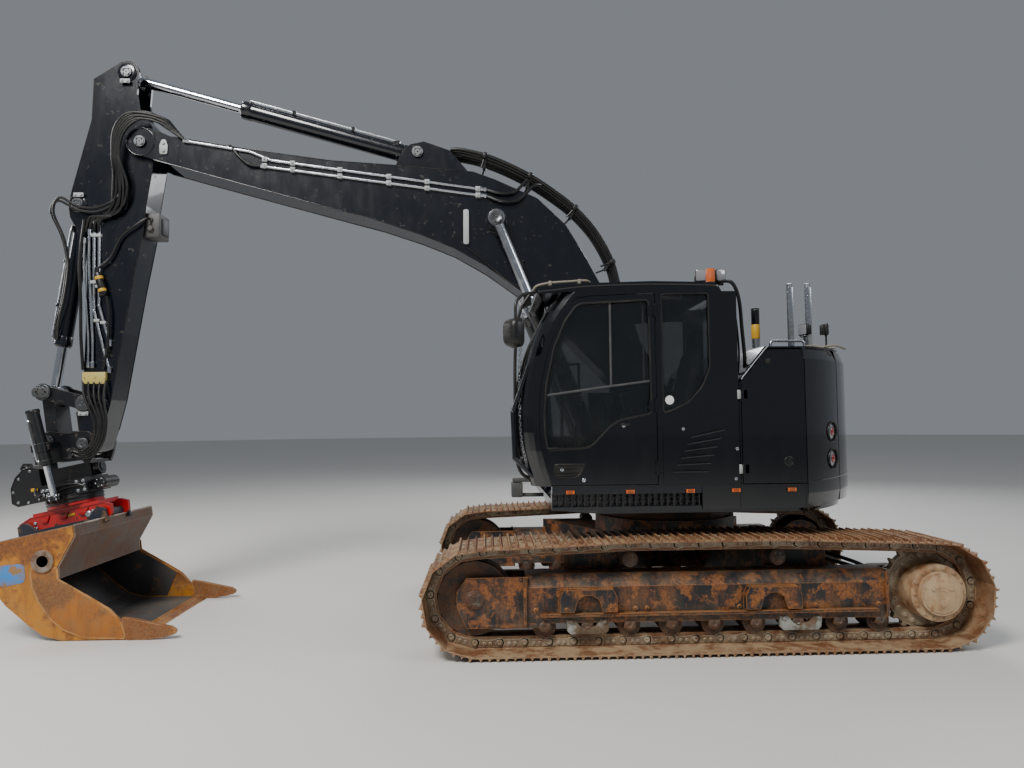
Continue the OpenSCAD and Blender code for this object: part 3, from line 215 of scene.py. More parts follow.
mats = {
    "blackEnamel": enamel("gloss_black_enamel", "#020409", 0.1, 0.6, dust="#4f4c48", dustShare=0.1,
                          dustLow=0.9, dustHigh=1.5),
    "boomEnamel": enamel("navy_black_enamel", "#040812", 0.2, 0.5, dust="#55524e", dustShare=0.12,
                         dustLow=0.4, dustHigh=1.0, chips=0.1, bare="#2a2622"),
    "hitchPaint": enamel("worn_black_casting_paint", "#070a10", 0.34, 0.2, dustShare=0.2, dustLow=0.3,
                         dustHigh=1.0, chips=0.5, bare="#3d342c", chipSize=0.03),
    "redEnamel": enamel("red_coupler_enamel", "#b3060b", 0.3, 0.4, dust="#40211c", dustShare=0.35,
                        dustLow=0.8, dustHigh=1.2, chips=0.7, bare="#3c1c16", chipSize=0.05),
    "bucketNavy": enamel("chipped_navy_bucket_paint", "#18212f", 0.5, 0.1, dust="#6e6252", dustShare=0.7,
                         dustLow=0.1, dustHigh=0.9, chips=0.8, bare="#5d4532", chipSize=0.08),
    "frameSteel": workedSteel("rusty_painted_frame_plate", "#16181c", "#955a28", "#84725a", paintShare=0.86,
                              mudTop=0.5, mudShare=0.55, gloss=0.5, patch=0.06, bright="#b8742f",
                              brightShare=1.0),
    "shoeSteel": workedSteel("rolled_shoe_steel", "#6b4a32", "#8a5a38", "#a8906f", paintShare=0.4, mudTop=0.9,
                             mudShare=0.75, gloss=0.55, bright="#b79a78", brightShare=1.0),
    "chainSteel": workedSteel("forged_chain_steel", "#8d7f6b", "#7a5c42", "#a39478", paintShare=0.6,
                              mudTop=0.9, mudShare=0.5, gloss=0.5, bright="#b5a88f", brightShare=1.0),
    "rollerSteel": workedSteel("greasy_roller_steel", "#2a221c", "#5d3a22", "#7a6852", paintShare=0.5,
                               mudShare=0.5),
    "driveCast": workedSteel("mud_dried_cast_housing", "#b29470", "#a06a3e", "#b9a283", paintShare=0.6,
                             mudTop=1.2, mudShare=0.9, gloss=0.66, dark="#5a4634"),
    "guardPaint": workedSteel("scraped_grey_guard", "#9aa19c", "#6e5a44", "#7d6f5c", paintShare=0.75,
                              mudShare=0.5),
    "engineIron": workedSteel("oily_cast_iron", "#1c1c1d", "#3a2c22", "#4a4238", paintShare=0.9),
    "wearPlate": workedSteel("rusty_yellow_wear_plate", "#b5761f", "#8f5626", "#8a7050", paintShare=0.65,
                             mudShare=0.45, gloss=0.5, patch=0.3, bright="#c8955c", brightShare=1.0,
                             dark="#5a381e"),
    "cheekPlate": workedSteel("worn_orange_cheek_plate", "#a3621c", "#8a5a2c", "#8a6f4e", paintShare=0.6,
                              mudShare=0.5, gloss=0.5, patch=0.25, bright="#c79a60", brightShare=1.0,
                              dark="#5e3c22"),
    "spillSteel": workedSteel("scoured_brown_plate", "#5a4c44", "#6b4a36", "#7c6a58", paintShare=0.6,
                              mudTop=1.2, mudShare=0.6, gloss=0.55, patch=0.2, bright="#a89a8c",
                              brightShare=0.8, dark="#3a2c26"),
    "earSteel": workedSteel("rubbed_ear_casting", "#857b70", "#7a5a40", "#7c6a58", paintShare=0.6,
                            mudShare=0.4, gloss=0.45),
    # pale rim beads: rubbed steel, their pale colour partly a painted highlight of the sunlit edges
    "paleRimHighlight": workedSteel("rubbed_rim_with_painted_highlight", "#b0a698", "#8a7460", "#8c7c68", paintShare=0.8,
                             mudShare=0.3, gloss=0.4),
    "chrome": bareMetal("hard_chrome_rod", "#cfd2d8", 0.08, dirtShare=0.08),
    "pinSteel": bareMetal("ground_pin_steel", "#6f7174", 0.36, dirtShare=0.6, grain=0.1),
    "zinc": bareMetal("zinc_plated_pipe", "#b4b8bd", 0.26, dirtShare=0.45),
    "rubber": moulded("braided_rubber_hose", "#070708", 0.36, coat=0.2, grain=0.5, scale=900.0,
                      dustShare=0.07),
    "seal": moulded("extruded_rubber_seal", "#050506", 0.5, grain=0.2, dustShare=0.08),
    "darkPlastic": moulded("dark_moulded_abs", "#08090a", 0.4, dustShare=0.12),
    "greyPlastic": moulded("grey_moulded_abs", "#3b3d3f", 0.5),
    "whiteClamp": moulded("pale_polypropylene_clamp", "#a3a7a8", 0.5, dustShare=0.4),
    "paleTube": moulded("tan_conduit_tube", "#7d766a", 0.5, dustShare=0.3),
    "blockYellow": moulded("faded_yellow_valve_block", "#b3a25c", 0.5, dustShare=0.3),
    "yellowTag": moulded("yellow_moulded_cap", "#c99a1c", 0.4),
    "amber": moulded("amber_acrylic_lens", "#d4600a", 0.12, coat=1.0, grain=0.05),
    "redLens": moulded("red_acrylic_lens", "#8c0f10", 0.12, coat=1.0, grain=0.05),
    "clearLens": moulded("clear_acrylic_lens", "#84858a", 0.08, coat=1.0, grain=0.3, scale=120.0,
                         dustShare=0.05),
    "seatCloth": moulded("woven_seat_cloth", "#17181b", 0.9, grain=0.9, scale=350.0),
    "glass": floatGlass("tinted_float_glass", "#0a1214", 0.46),
    "mirrorGlass": bareMetal("silvered_mirror_glass", "#c4cad0", 0.03, dirtShare=0.05),
    "whiteVinyl": moulded("blank_white_vinyl", "#e8e8e6", 0.35, grain=0.02),
    "bluePaint": enamel("scraped_blue_paint", "#2f7fc4", 0.45, 0.1, dustLow=0.2, dustHigh=0.6, chips=1.2,
                        bare="#8a6a44", chipSize=0.05),
}

nodeFinish = {
    "blackEnamel": ["counterweight", "skirts", "cab_shell", "cab_roof", "cab_vent_panel", "right_tanks",
                    "rear_walls", "cab_door", "service_door", "pump_door", "engine_hood"],
    "boomEnamel": ["boom", "arm", "platform", "step_sill", "handrails", "boom_barrels", "arm_barrel",
                   "bucket_barrel"],
    "hitchPaint": ["hitch", "tilt_housing", "tilt_barrel_left", "tilt_barrel_right", "guide_links",
                   "tie_link"],
    "redEnamel": ["coupler"],
    "bucketNavy": ["bucket"],
    "wearPlate": ["bucket_edge", "bucket_side_left", "bucket_side_right"],
    "frameSteel": ["carbody", "track_frame_left", "track_frame_right"],
    "shoeSteel": ["track_left", "track_right"],
    "rollerSteel": ["idlers", "lower_rollers", "carrier_rollers", "slewing_ring"],
    "chainSteel": ["sprockets"],
    "driveCast": ["final_drives"],
    "chrome": ["boom_rods", "arm_rod", "bucket_rod", "tilt_rod_left", "tilt_rod_right"],
    "pinSteel": ["boom_pins", "arm_pins"],
    "zinc": ["boom_pipes", "arm_pipes", "stack_and_masts"],
    "engineIron": ["engine_block"],
    "glass": ["cab_glass", "door_glass"],
    "seatCloth": ["seat_cushions"],
    "darkPlastic": ["cab_controls", "mirrors", "work_lamps"],
    "amber": ["amber_lamps"],
    "redLens": ["rear_lamps"],
}
for finish, names in nodeFinish.items():
    for name in names:
        if not nodes[name].material_slots:
            nodes[name].data.materials.append(mats[finish])
        for s in nodes[name].material_slots:
            s.material = mats[finish]
print("finishes on", sum(len(names) for names in nodeFinish.values()), "of", len(nodes), "solids")


# shapes: all lengths in millimetres until a piece is made; a part is (points, [faces of one size, ...])

def unit(v):
    return v / np.linalg.norm(v, axis=-1, keepdims=True)


def gridPart(p, loopU=False, loopV=True, ends=True):
    # p[u, v] gives quads (u,v) (u+1,v) (u+1,v+1) (u,v+1); each end row is closed with one flat face
    nu, nv = p.shape[:2]
    i, j = np.meshgrid(np.arange(nu if loopU else nu - 1), np.arange(nv if loopV else nv - 1), indexing="ij")
    k, m = (i + 1) % nu, (j + 1) % nv
    faces = [np.stack([i * nv + j, k * nv + j, k * nv + m, i * nv + m], -1).reshape(-1, 4)]
    if ends and not loopU:
        faces.append(np.stack([np.arange(nv)[::-1], np.arange((nu - 1) * nv, nu * nv)]))
    return p.reshape(-1, 3).astype(float), faces


def joinParts(parts):
    points, faces, n = [], [], 0
    for v, fs in parts:
        points.append(v)
        faces += [f + n for f in fs]
        n += len(v)
    return np.vstack(points), faces


def scatter(part, centres, frames=None):
    # the part at each centre: q = F_k p + c_k
    v, fs = part
    c = np.atleast_2d(np.asarray(centres, float))
    q = (np.repeat(v[None], len(c), 0) if frames is None
         else np.einsum("kij,nj->kni", np.broadcast_to(frames, (len(c), 3, 3)), v))
    q = (q + c[:, None]).reshape(-1, 3)
    step = (np.arange(len(c)) * len(v))[:, None, None]
    return q, [(f[None] + step).reshape(-1, f.shape[1]) for f in fs]


def axisFrame(axis, hint=(0.0, 0.0, 1.0)):
    # columns x, y, z with z along the axis and x square to the hint
    z = unit(np.asarray(axis, float))
    h = np.asarray(hint, float)
    if abs(z @ unit(h)) > 0.99:
        h = np.array([1.0, 0.0, 0.0])
    x = unit(np.cross(h, z))
    return np.stack([x, np.cross(z, x), z], -1)


def moved(part, origin, axis=None):
    return scatter(part, origin, (np.eye(3) if axis is None else axisFrame(axis))[None])


def evenAngles(n, start=0.0):
    # n angles of one full turn in radians, the first at start degrees
    return np.linspace(0, 2 * np.pi, n, endpoint=False) + math.radians(start)


def lathe(profile, sides=24, origin=(0, 0, 0), axis=(0, 0, 1)):
    # P(u, v) = origin + h(u) z + r(u) (x cos v + y sin v)
    r, h = np.array(profile, float).T
    a = evenAngles(sides)
    p = np.stack([r[:, None] * np.cos(a), r[:, None] * np.sin(a), np.repeat(h[:, None], sides, 1)], -1)
    return moved(gridPart(p), origin, axis)


def across(profile, y, x, z, side=1, sides=32):
    # a turned piece whose axis runs across the machine, its h growing outwards from y
    return lathe(profile, sides, (x, y * side, z), (0, side, 0))


def spline(points, n=40):
    # Hermite curve through the points: tangents are half the step between the neighbours
    p = np.array(points, float)
    t = np.gradient(p, axis=0)
    u = np.linspace(0, len(p) - 1, n)
    i = np.minimum(u.astype(int), len(p) - 2)
    w = (u - i)[:, None]
    ends = (2 * w ** 3 - 3 * w ** 2 + 1) * p[i] + (3 * w ** 2 - 2 * w ** 3) * p[i + 1]
    return ends + (w ** 3 - 2 * w ** 2 + w) * t[i] + (w ** 3 - w ** 2) * t[i + 1]


def turnedCorner(a, c, b, n):
    # B(w) = (1-w)^2 a + 2w(1-w) c + w^2 b, n points on each
    w = np.linspace(0, 1, n)[None, :, None]
    p = (1 - w) ** 2 * a[:, None] + 2 * w * (1 - w) * c[:, None] + w ** 2 * b[:, None]
    return p.reshape(-1, a.shape[-1])


def bent(points, radius, n=6):
    # straight runs joined by curves that start radius before each corner
    p = np.array(points, float)
    step = np.linalg.norm(np.diff(p, axis=0), axis=1)
    d = np.diff(p, axis=0) / step[:, None]
    cut = np.minimum(radius, 0.48 * np.minimum(step[:-1], step[1:]))[:, None]
    return np.vstack([p[:1], turnedCorner(p[1:-1] - d[:-1] * cut, p[1:-1], p[1:-1] + d[1:] * cut, n), p[-1:]])


def sweep(path, radius, sides=10, flat=1.0, hint=None):
    # P(s, v) = c(s) + radius(s) (side cos v + flat up sin v); side is square to the tangent and the hint,
    # which without one is the normal of the path's own plane
    c = np.asarray(path, float)
    t = unit(np.gradient(c, axis=0))
    if hint is None:
        hint = np.linalg.svd(c - c.mean(0))[2][-1]
    side = unit(np.cross(np.broadcast_to(hint, t.shape), t))
    up = np.cross(t, side)
    a = evenAngles(sides)[None, :, None]
    r = np.broadcast_to(np.asarray(radius, float).reshape(-1, 1, 1), (len(c), 1, 1))
    return gridPart(c[:, None] + r * (side[:, None] * np.cos(a) + flat * up[:, None] * np.sin(a)))


def cable(points, radius, n=40, sides=10):
    return sweep(spline(points, n), radius, sides, hint=(0, 1, 0))


def rod(a, b, radius, sides=8, hint=(0, 1, 0)):
    # a straight round bar
    return sweep(np.linspace(a, b, 3), radius, sides, hint=hint)


def bead(line, y, radius):
    # a weld bead along a line [forward, up] in one plane across the machine
    return sweep([(x, y, z) for x, z in line], radius, 6, hint=(0, 1, 0))


def inset(outline, d):
    # each corner moved along the mitre of its two edges, inwards by d
    o = np.asarray(outline, float)
    e = unit(np.roll(o, -1, 0) - o)
    n = np.stack([-e[:, 1], e[:, 0]], -1)
    m = n + np.roll(n, 1, 0)
    k = np.maximum(1 + (n * np.roll(n, 1, 0)).sum(1), 0.35)[:, None]
    return o + m / k * d


def slab(outline, origin, ex, ey, depth, edge=0.0, rows=2):
    # an outline in the plane (ex, ey) carried along ez = ex x ey; its rims are rounded:
    # inset e(1-sin a), height e(1-cos a)
    o = np.array(outline, float)
    x, y = o.T
    if (x * np.roll(y, -1) - np.roll(x, -1) * y).sum() < 0:
        o = o[::-1]
    ex, ey = unit(np.array(ex, float)), unit(np.array(ey, float))
    ez = np.cross(ex, ey)
    a = np.linspace(0, np.pi / 2, rows + 1 if edge else 1)
    insets, rise = edge * (1 - np.sin(a)), edge * (1 - np.cos(a))
    rings = zip(np.concatenate([insets, insets[::-1]]), np.concatenate([rise, depth - rise[::-1]]))
    return gridPart(np.stack([inset(o, i) @ np.array([ex, ey]) + h * ez + np.array(origin, float)
                              for i, h in rings]))


def plate(outline, y0, y1, edge=0.0):
    # an upright plate [forward, up] between two planes across the machine
    return slab(outline, (0, y1, 0), (1, 0, 0), (0, 0, 1), y1 - y0, edge)


def roundRect(w, h, r, n=4, centre=(0, 0)):
    a = np.linspace(0, np.pi / 2, n)
    q = np.stack([np.cos(a), np.sin(a)], -1) * r
    turn = [np.array([[1, 0], [0, 1]]), np.array([[0, -1], [1, 0]]), -np.eye(2), np.array([[0, 1], [-1, 0]])]
    mid = [(w / 2 - r, h / 2 - r), (r - w / 2, h / 2 - r), (r - w / 2, r - h / 2), (w / 2 - r, r - h / 2)]
    return np.vstack([q @ t.T + m for t, m in zip(turn, mid)]) + np.array(centre)


def block(lo, hi, edge=3.0, r=None):
    # a box from corner to corner with rounded rims
    lo, hi = np.array(lo, float), np.array(hi, float)
    w, mid = hi - lo, (lo + hi) / 2
    return slab(roundRect(w[0], w[1], r or edge, 3), (mid[0], mid[1], lo[2]), (1, 0, 0), (0, 1, 0), w[2],
                edge)


def hexHead(flats, high):
    # hexagon head with a chamfered rim on its washer
    r, low = flats / math.sqrt(3), high * 0.2
    return joinParts([lathe([(r * 1.25, 0), (r * 1.25, low)], 10),
                      lathe([(r, low), (r, high * 0.85), (r * 0.84, high)], 6)])


def bolts(places, axis, flats=24, high=12):
    return scatter(hexHead(flats, high), places, axisFrame(axis)[None])


def circleOf(n, r, x, z, y, start=0.0):
    # places round an axis that runs across the machine
    a = evenAngles(n, start)
    return np.stack([x + r * np.cos(a), np.full(n, float(y)), z + r * np.sin(a)], -1)


def ringOf(n, r, x, z):
    # places round an upright axis
    a = evenAngles(n)
    return np.stack([x + r * np.cos(a), r * np.sin(a), np.full(n, float(z))], -1)


def studs(x, y, z, profile, sides=8):
    # a small turned stud at each crossing of a level grid
    xx, yy = np.meshgrid(x, y)
    return scatter(lathe(profile, sides), np.stack([xx.ravel(), yy.ravel(), np.full(xx.size, float(z))], -1))


def mirrored(part):
    # the part on the other side of the machine
    v, fs = part
    return v * (1, -1, 1), [f[:, ::-1] for f in fs]


def both(part):
    return joinParts([part, mirrored(part)])


# library slot that most pieces of a finish have
usualSlot = {"blackEnamel": "black_paint", "boomEnamel": "frame_paint", "hitchPaint": "frame_paint",
             "redEnamel": "red_paint", "bucketNavy": "bucket_paint", "engineIron": "engine_iron",
             "cheekPlate": "wear_plate", "spillSteel": "bucket_paint", "earSteel": "wear_plate",
             "paleRimHighlight": "wear_plate", "pinSteel": "pin_steel", "zinc": "pipe_steel", "rubber": "pipe_steel",
             "seal": "dark_plastic", "darkPlastic": "dark_plastic", "greyPlastic": "dark_plastic",
             "whiteClamp": "pipe_steel", "paleTube": "dark_plastic", "blockYellow": "pipe_steel",
             "yellowTag": "dark_plastic", "amber": "amber_plastic", "redLens": "lamp_plastic",
             "clearLens": "lamp_plastic", "seatCloth": "seat_cloth", "glass": "dark_plastic",
             "mirrorGlass": "dark_plastic", "whiteVinyl": "dark_plastic", "bluePaint": "wear_plate"}


def makePiece(name, parts, material, body, slot=None, angle=35):
    # points in millimetres become a mesh in metres that rides on its body; given a tuple (a, b, start, end)
    # instead, it is left in place, unparented
    v, fs = joinParts(parts if isinstance(parts, list) else [parts])
    me = bpy.data.meshes.new(name)
    me.vertices.add(len(v))
    me.vertices.foreach_set("co", (v * 0.001).astype(np.float32).ravel())
    total = np.concatenate([np.full(len(f), f.shape[1]) for f in fs])
    me.loops.add(int(total.sum()))
    me.loops.foreach_set("vertex_index", np.concatenate([f.ravel() for f in fs]).astype(np.int32))
    me.polygons.add(len(total))
    me.polygons.foreach_set("loop_start", (np.cumsum(total) - total).astype(np.int32))
    me.update(calc_edges=True)
    me.validate()
    bm = bmesh.new()
    bm.from_mesh(me)
    bmesh.ops.remove_doubles(bm, verts=bm.verts, dist=1e-6)
    bmesh.ops.recalc_face_normals(bm, faces=bm.faces)
    bm.to_mesh(me)
    bm.free()
    me.polygons.foreach_set("use_smooth", np.ones(len(me.polygons), bool))
    me.set_sharp_from_angle(angle=math.radians(angle))
    me.materials.append(mats[material])
    ob = bpy.data.objects.new(name, me)
    bpy.context.scene.collection.objects.link(ob)
    if isinstance(body, tuple):
        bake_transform(ob)
    else:
        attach(ob, body)
    slot = slot or usualSlot[material]
    return ob


# undercarriage: shoe bolts, link plates and pin ends, roller caps, hubs, guards, hoses

def trackPiece(name, parts, material, slot="track_steel"):
    # a piece of the left track or its frame, and its mirror image on the right
    makePiece(name, both(joinParts(parts)), material, "undercarriage", slot)


chain = {"wheelX": 1800, "wheelZ": 425, "pinR": 343, "carrierX": 585, "carrierRise": 46, "shoes": 49,
         "arcStep": 7.5, "trackY": 1195, "railOut": 85, "plate": 56, "boltFlats": 30, "boltHigh": 13}


def chainPins():
    # pins at even steps along the closed line of two half circles and the carriers' run, by arc length
    c = chain
    a = np.radians(np.arange(-90, 90.1, c["arcStep"]))
    front = np.stack([c["wheelX"] + c["pinR"] * np.cos(a), c["wheelZ"] + c["pinR"] * np.sin(a)], -1)
    top = c["wheelZ"] + c["pinR"] + c["carrierRise"]
    line = np.vstack([front, [[c["carrierX"], top], [-c["carrierX"], top]], [-1, 1] * front[::-1]])
    line = np.vstack([line, line[:1]])
    s = np.concatenate([[0], np.cumsum(np.linalg.norm(np.diff(line, axis=0), axis=1))])
    at = np.arange(c["shoes"]) * s[-1] / c["shoes"]
    return np.stack([np.interp(at, s, line[:, 0]), np.interp(at, s, line[:, 1])], -1)


def trackDetails():
    c = chain
    a = chainPins()
    b = np.roll(a, -1, 0)
    pitch = np.linalg.norm(b - a, axis=1)[0]
    d = unit(b - a)
    n = np.stack([d[:, 1], -d[:, 0]], -1)
    up = np.zeros((len(a), 3, 3))
    up[:, 0, 0], up[:, 2, 0] = d[:, 0], d[:, 1]
    up[:, 1, 1] = 1
    up[:, 0, 2], up[:, 2, 2] = n[:, 0], n[:, 1]
    heads, links, ends = [], [], []
    for share in (-0.255, 0.075):
        for y in (-68, 68):
            m = (a + b) / 2 + d * share * pitch + n * c["plate"]
            heads.append(scatter(hexHead(c["boltFlats"], c["boltHigh"]),
                                 np.insert(m, 1, c["trackY"] + y, axis=1), up))
    # link cheek seen from its side: an arc round each pin, a waist between, and the rail side cut straight
    g = np.radians(np.linspace(60, 300, 9))
    h = np.radians(np.linspace(-120, 120, 9))
    cheek = np.vstack([np.stack([38 * np.cos(g), 38 * np.sin(g)], -1),
                       [[pitch * 0.28, -24], [pitch * 0.72, -24]],
                       np.stack([pitch + 34 * np.cos(h), 34 * np.sin(h)], -1),
                       [[pitch * 0.7, 30], [pitch * 0.3, 30]]])
    for y in (c["railOut"], -c["railOut"]):
        side = 1 if y > 0 else -1
        face = slab(cheek, (0, 0, 0), (1, 0, 0), (0, 0, 1), 5, 2.0, 1)
        face = (face[0] + (0, 5 if side > 0 else 0, 0), face[1])
        links.append(scatter(face, np.insert(a, 1, c["trackY"] + y, axis=1), up))
        pin = across([(26, 0), (26, 7), (21, 10), (9, 10), (7, 7)], 5, 0, 0, side, 14)
        ends.append(scatter(pin, np.insert(a, 1, c["trackY"] + y, axis=1)))
        wash = across([(15, 0), (15, 5), (11, 8)], 5, 0, 0, side, 8)
        for share in (0.38, 0.62):
            ends.append(scatter(wash, np.insert(a + d * share * pitch + n * 6, 1, c["trackY"] + y, axis=1)))
    trackPiece("shoe_bolts", heads, "chainSteel")
    trackPiece("link_cheeks", links, "chainSteel")
    trackPiece("link_pin_ends", ends, "chainSteel")


trackDetails()

rollers = {"x0": 1261, "pitch": 328.5, "count": 9, "z": 205.3, "out": 138, "capR": 46, "carrierX": 585,
           "carrierZ": 704, "carrierOut": 92}


def rollerCaps():
    r = rollers
    xs = r["x0"] - r["pitch"] * np.arange(r["count"])
    cap = across([(r["capR"], 0), (r["capR"], 10), (r["capR"] - 8, 16), (16, 18), (12, 14)], 0, 0, 0, 1, 20)
    places = np.stack([xs, np.full(len(xs), chain["trackY"] + r["out"]), np.full(len(xs), r["z"] + 8)], -1)
    parts = [scatter(cap, places)]
    for dx in (-26, 26):
        parts.append(bolts(places + (dx, 12, 14), (0, 1, 0), 20, 9))
    inner = across([(r["capR"], 0), (r["capR"], 10), (r["capR"] - 8, 16), (16, 18)], 0, 0, 0, -1, 20)
    parts.append(scatter(inner, places - (0, 2 * r["out"], 0)))
    end = across([(58, 0), (58, 6), (48, 12), (22, 13), (20, 18), (8, 18)], 0, 0, 0, 1, 24)
    carriers = np.array([[s * r["carrierX"], chain["trackY"] + r["carrierOut"], r["carrierZ"]]
                         for s in (1, -1)], float)
    parts.append(scatter(end, carriers))
    for c in carriers:
        parts.append(bolts(circleOf(6, 36, c[0], c[2], c[1] + 10), (0, 1, 0), 12, 6))
    trackPiece("roller_caps", parts, "rollerSteel")


rollerCaps()

drive = {"at": (-1800, 425), "coverOut": 200, "endOut": 248, "webOut": 28, "boltsOut": 36,
         "motor": (-1690, 425), "motorBolts": [(-1480, 520), (-1480, 330), (-1900, 520), (-1900, 330)]}


def driveDetails():
    v, mid, at = drive, chain["trackY"], drive["at"]
    cover, end = mid + v["coverOut"], mid + v["endOut"]
    parts = [across([(150, 0), (146, 4), (118, 6), (112, 9), (52, 9), (48, 6), (30, 6), (28, 2)],
                    end, *at, 1, 48),
             across([(219, 0), (219, 3), (213, 6), (178, 6), (172, 2)], cover, *at, 1, 64),
             bolts(circleOf(14, 196, *at, cover + 5), (0, 1, 0), 24, 9),
             bolts(circleOf(3, 82, *at, end + 8, 30), (0, 1, 0), 30, 7)]
    trackPiece("drive_covers", parts, "driveCast", "drive_cast")
    # sprocket: a bolted ring outside, a plain one inside
    parts = [across([(300, 0), (300, 5), (292, 9), (252, 9), (246, 5)], mid + v["webOut"], *at, 1, 66),
             across([(292, 0), (292, 6), (240, 6)], mid - v["webOut"], *at, -1, 66),
             bolts(circleOf(22, 272, *at, mid + v["boltsOut"]), (0, 1, 0), 28, 12)]
    trackPiece("sprocket_rings", parts, "chainSteel")
    # travel motor guard on the inside of each frame, with its three hoses to the middle
    guard = [slab(roundRect(520, 300, 60, 5, v["motor"]), (0, 1045, 0), (1, 0, 0), (0, 0, 1), 120, 14),
             bolts([(x, 925, z) for x, z in v["motorBolts"]], (0, -1, 0), 24, 12)]
    trackPiece("motor_guards", guard, "frameSteel", "frame_paint")
    runs = []
    for dz in (0, 55, 100):
        run = [(-1500, 960, 470 + dz * 0.6), (-1340, 900, 500 + dz), (-1100, 640, 560 + dz),
               (-800, 330, 640 + dz * 0.5), (-560, 160, 700 + dz * 0.3)]
        runs.append(sweep(spline(run, 36), 17, 8))
    trackPiece("travel_hoses", runs, "rubber", "dark_plastic")


driveDetails()

idler = {"at": (1800, 425), "yokeY": 1345}


def idlerDetails():
    at, y = idler["at"], idler["yokeY"]
    parts = [across([(74, 0), (74, 8), (66, 14), (30, 16), (26, 12)], y + 1, *at, 1, 28),
             bolts(circleOf(4, 48, *at, y + 14, 45), (0, 1, 0), 18, 9)]
    trackPiece("idler_caps", parts, "rollerSteel")


idlerDetails()

frameTrim = {"steps": [(1151, 709), (-285, -722)], "stepTop": 500, "stepOut": 62,
             "guards": [(1097, 762), (-560, -900)], "guardZ": (150, 262), "outY": 1346,
             "ribs": (1330, 560, 470, -250, -850, -1350)}


def frameDetails():
    v = frameTrim
    y, top, (low, high) = v["outY"], v["stepTop"], v["guardZ"]
    parts = [block((1400, y - 2, 214), (1424, y + 34, 596), 4),
             block((-1428, y - 2, 250), (-1404, y + 20, 590), 4)]
    for xb, xa in [s[::-1] for s in v["steps"]]:
        # rows of raised teeth on the tread, a weld bead along its root
        parts.append(studs(np.arange(xb + 44, xa - 36, 24), y + np.array([14, 34, 54]), top - 1,
                           [(8, -4), (6, 6), (2, 7)], 6))
        parts.append(rod((xb + 30, y + 1, top - 2), (xa - 30, y + 1, top - 2), 7, 6, (0, 0, 1)))
        parts.append(bolts([[xb + 52, y + v["stepOut"] - 1, 356], [xa - 52, y + v["stepOut"] - 1, 356]],
                           (0, 1, 0), 22, 8))
    parts.append(rod((-1320, y + 38, 313), (1280, y + 38, 313), 5, 6, (0, 0, 1)))
    parts.append(bolts([[x, y - 2, 340] for x in v["ribs"]], (0, 1, 0), 28, 12))
    trackPiece("frame_ribs_and_treads", parts, "frameSteel", "frame_paint")
    guards = []
    for xa, xb in v["guards"]:
        line = [(xb, high), (xb + 8, low + 26), (xb + 34, low), (xa - 34, low), (xa - 8, low + 26),
                (xa, high), (xa - 70, high), (xa - 110, high - 54), (xb + 110, high - 54), (xb + 70, high)]
        guards.append(plate(line, y - 46, y + 4, 6))
        guards.append(bolts([[xb + 36, y + 4, high - 16], [xa - 36, y + 4, high - 16]], (0, 1, 0), 26, 12))
    trackPiece("track_guards", guards, "guardPaint", "frame_paint")
    # box guard under the yoke plate
    box = [plate([(1290, 296), (1290, 218), (1310, 204), (1690, 204), (1712, 218), (1712, 236), (1330, 236),
                  (1330, 296)], y - 60, y, 5)]
    box.append(block((1345, y - 70, 204), (1680, y - 12, 262), 8))
    trackPiece("idler_guards", box, "frameSteel", "frame_paint")
    ring = [bolts(circleOf(36, 588, 0, 0, 0) * (1, 1, 0) + (0, 0, 963), (0, 0, 1), 24, 12)]
    makePiece("ring_bolts", ring, "pinSteel", "undercarriage", "ring_steel")


frameDetails()
print("undercarriage dressed")


# upper structure: cab, doors, lamps, mirrors, tanks, engine housing, deck

upperPiece = partial(makePiece, body="upper_structure")


def rimRun(outline, y, radius, sides=8, flat=1.0, side=1):
    # a bead round a closed outline [forward, up]: P(u, v) = c(u) + r (n(u) cos v + flat b sin v)
    c = np.insert(np.array(outline, float), 1, y * side, axis=1)
    t = unit(np.roll(c, -1, 0) - np.roll(c, 1, 0))
    b = np.array([0.0, side, 0.0])
    n = unit(np.cross(b, t))
    a = evenAngles(sides)[None, :, None]
    return gridPart(c[:, None] + radius * (n[:, None] * np.cos(a) + flat * b * np.sin(a)), loopU=True,
                    ends=False)


def smoothLoop(outline, radius):
    # the outline with each corner cut by a curve
    o = np.array(outline, float)
    before, after = np.roll(o, 1, 0) - o, np.roll(o, -1, 0) - o
    cut = np.minimum(radius, 0.45 * np.minimum(np.linalg.norm(before, axis=1),
                                               np.linalg.norm(after, axis=1)))[:, None]
    return turnedCorner(o + unit(before) * cut, o, o + unit(after) * cut, 4)


cab = {
    "pillarZ": [1290, 1430, 1558, 1700, 1834, 1950, 2072, 2215, 2358, 2460, 2559, 2650, 2738, 2800],
    "pillarX": [1200, 1245, 1274, 1290, 1294, 1290, 1276, 1248, 1210, 1170, 1123, 1070, 1003, 950],
    "faceY": 1420, "nose": 150, "seal": (542, 1308, 1436, 2674), "rightY": 430, "rear": -262, "middleY": 925,
    "doorWindow": [(1228, 1560), (1248, 1700), (1252, 1834), (1235, 2072), (1170, 2358), (1085, 2559),
                   (1000, 2672), (960, 2694), (448, 2722), (430, 2700), (420, 1836), (661, 1790), (747, 1736),
                   (840, 1640), (889, 1592), (940, 1575)],
    "quarterWindow": [(330, 2770), (-30, 2775), (-42, 2760), (-44, 2190), (20, 2040), (126, 1925),
                      (268, 1856), (330, 1840)],
    "rightWindow": [(1100, 1600), (1130, 2072), (960, 2650), (-120, 2700), (-120, 1850), (400, 1600)],
}


def pillarAt(z):
    return np.interp(z, cab["pillarZ"], cab["pillarX"])


def screenLine(y, z0, z1, out, n=24):
    # a line up the windscreen at y, out millimetres in front of the glass
    z = np.linspace(z0, z1, n)
    return np.stack([pillarAt(z) + cab["nose"] - 18 + out, np.full(n, float(y)), z], -1)


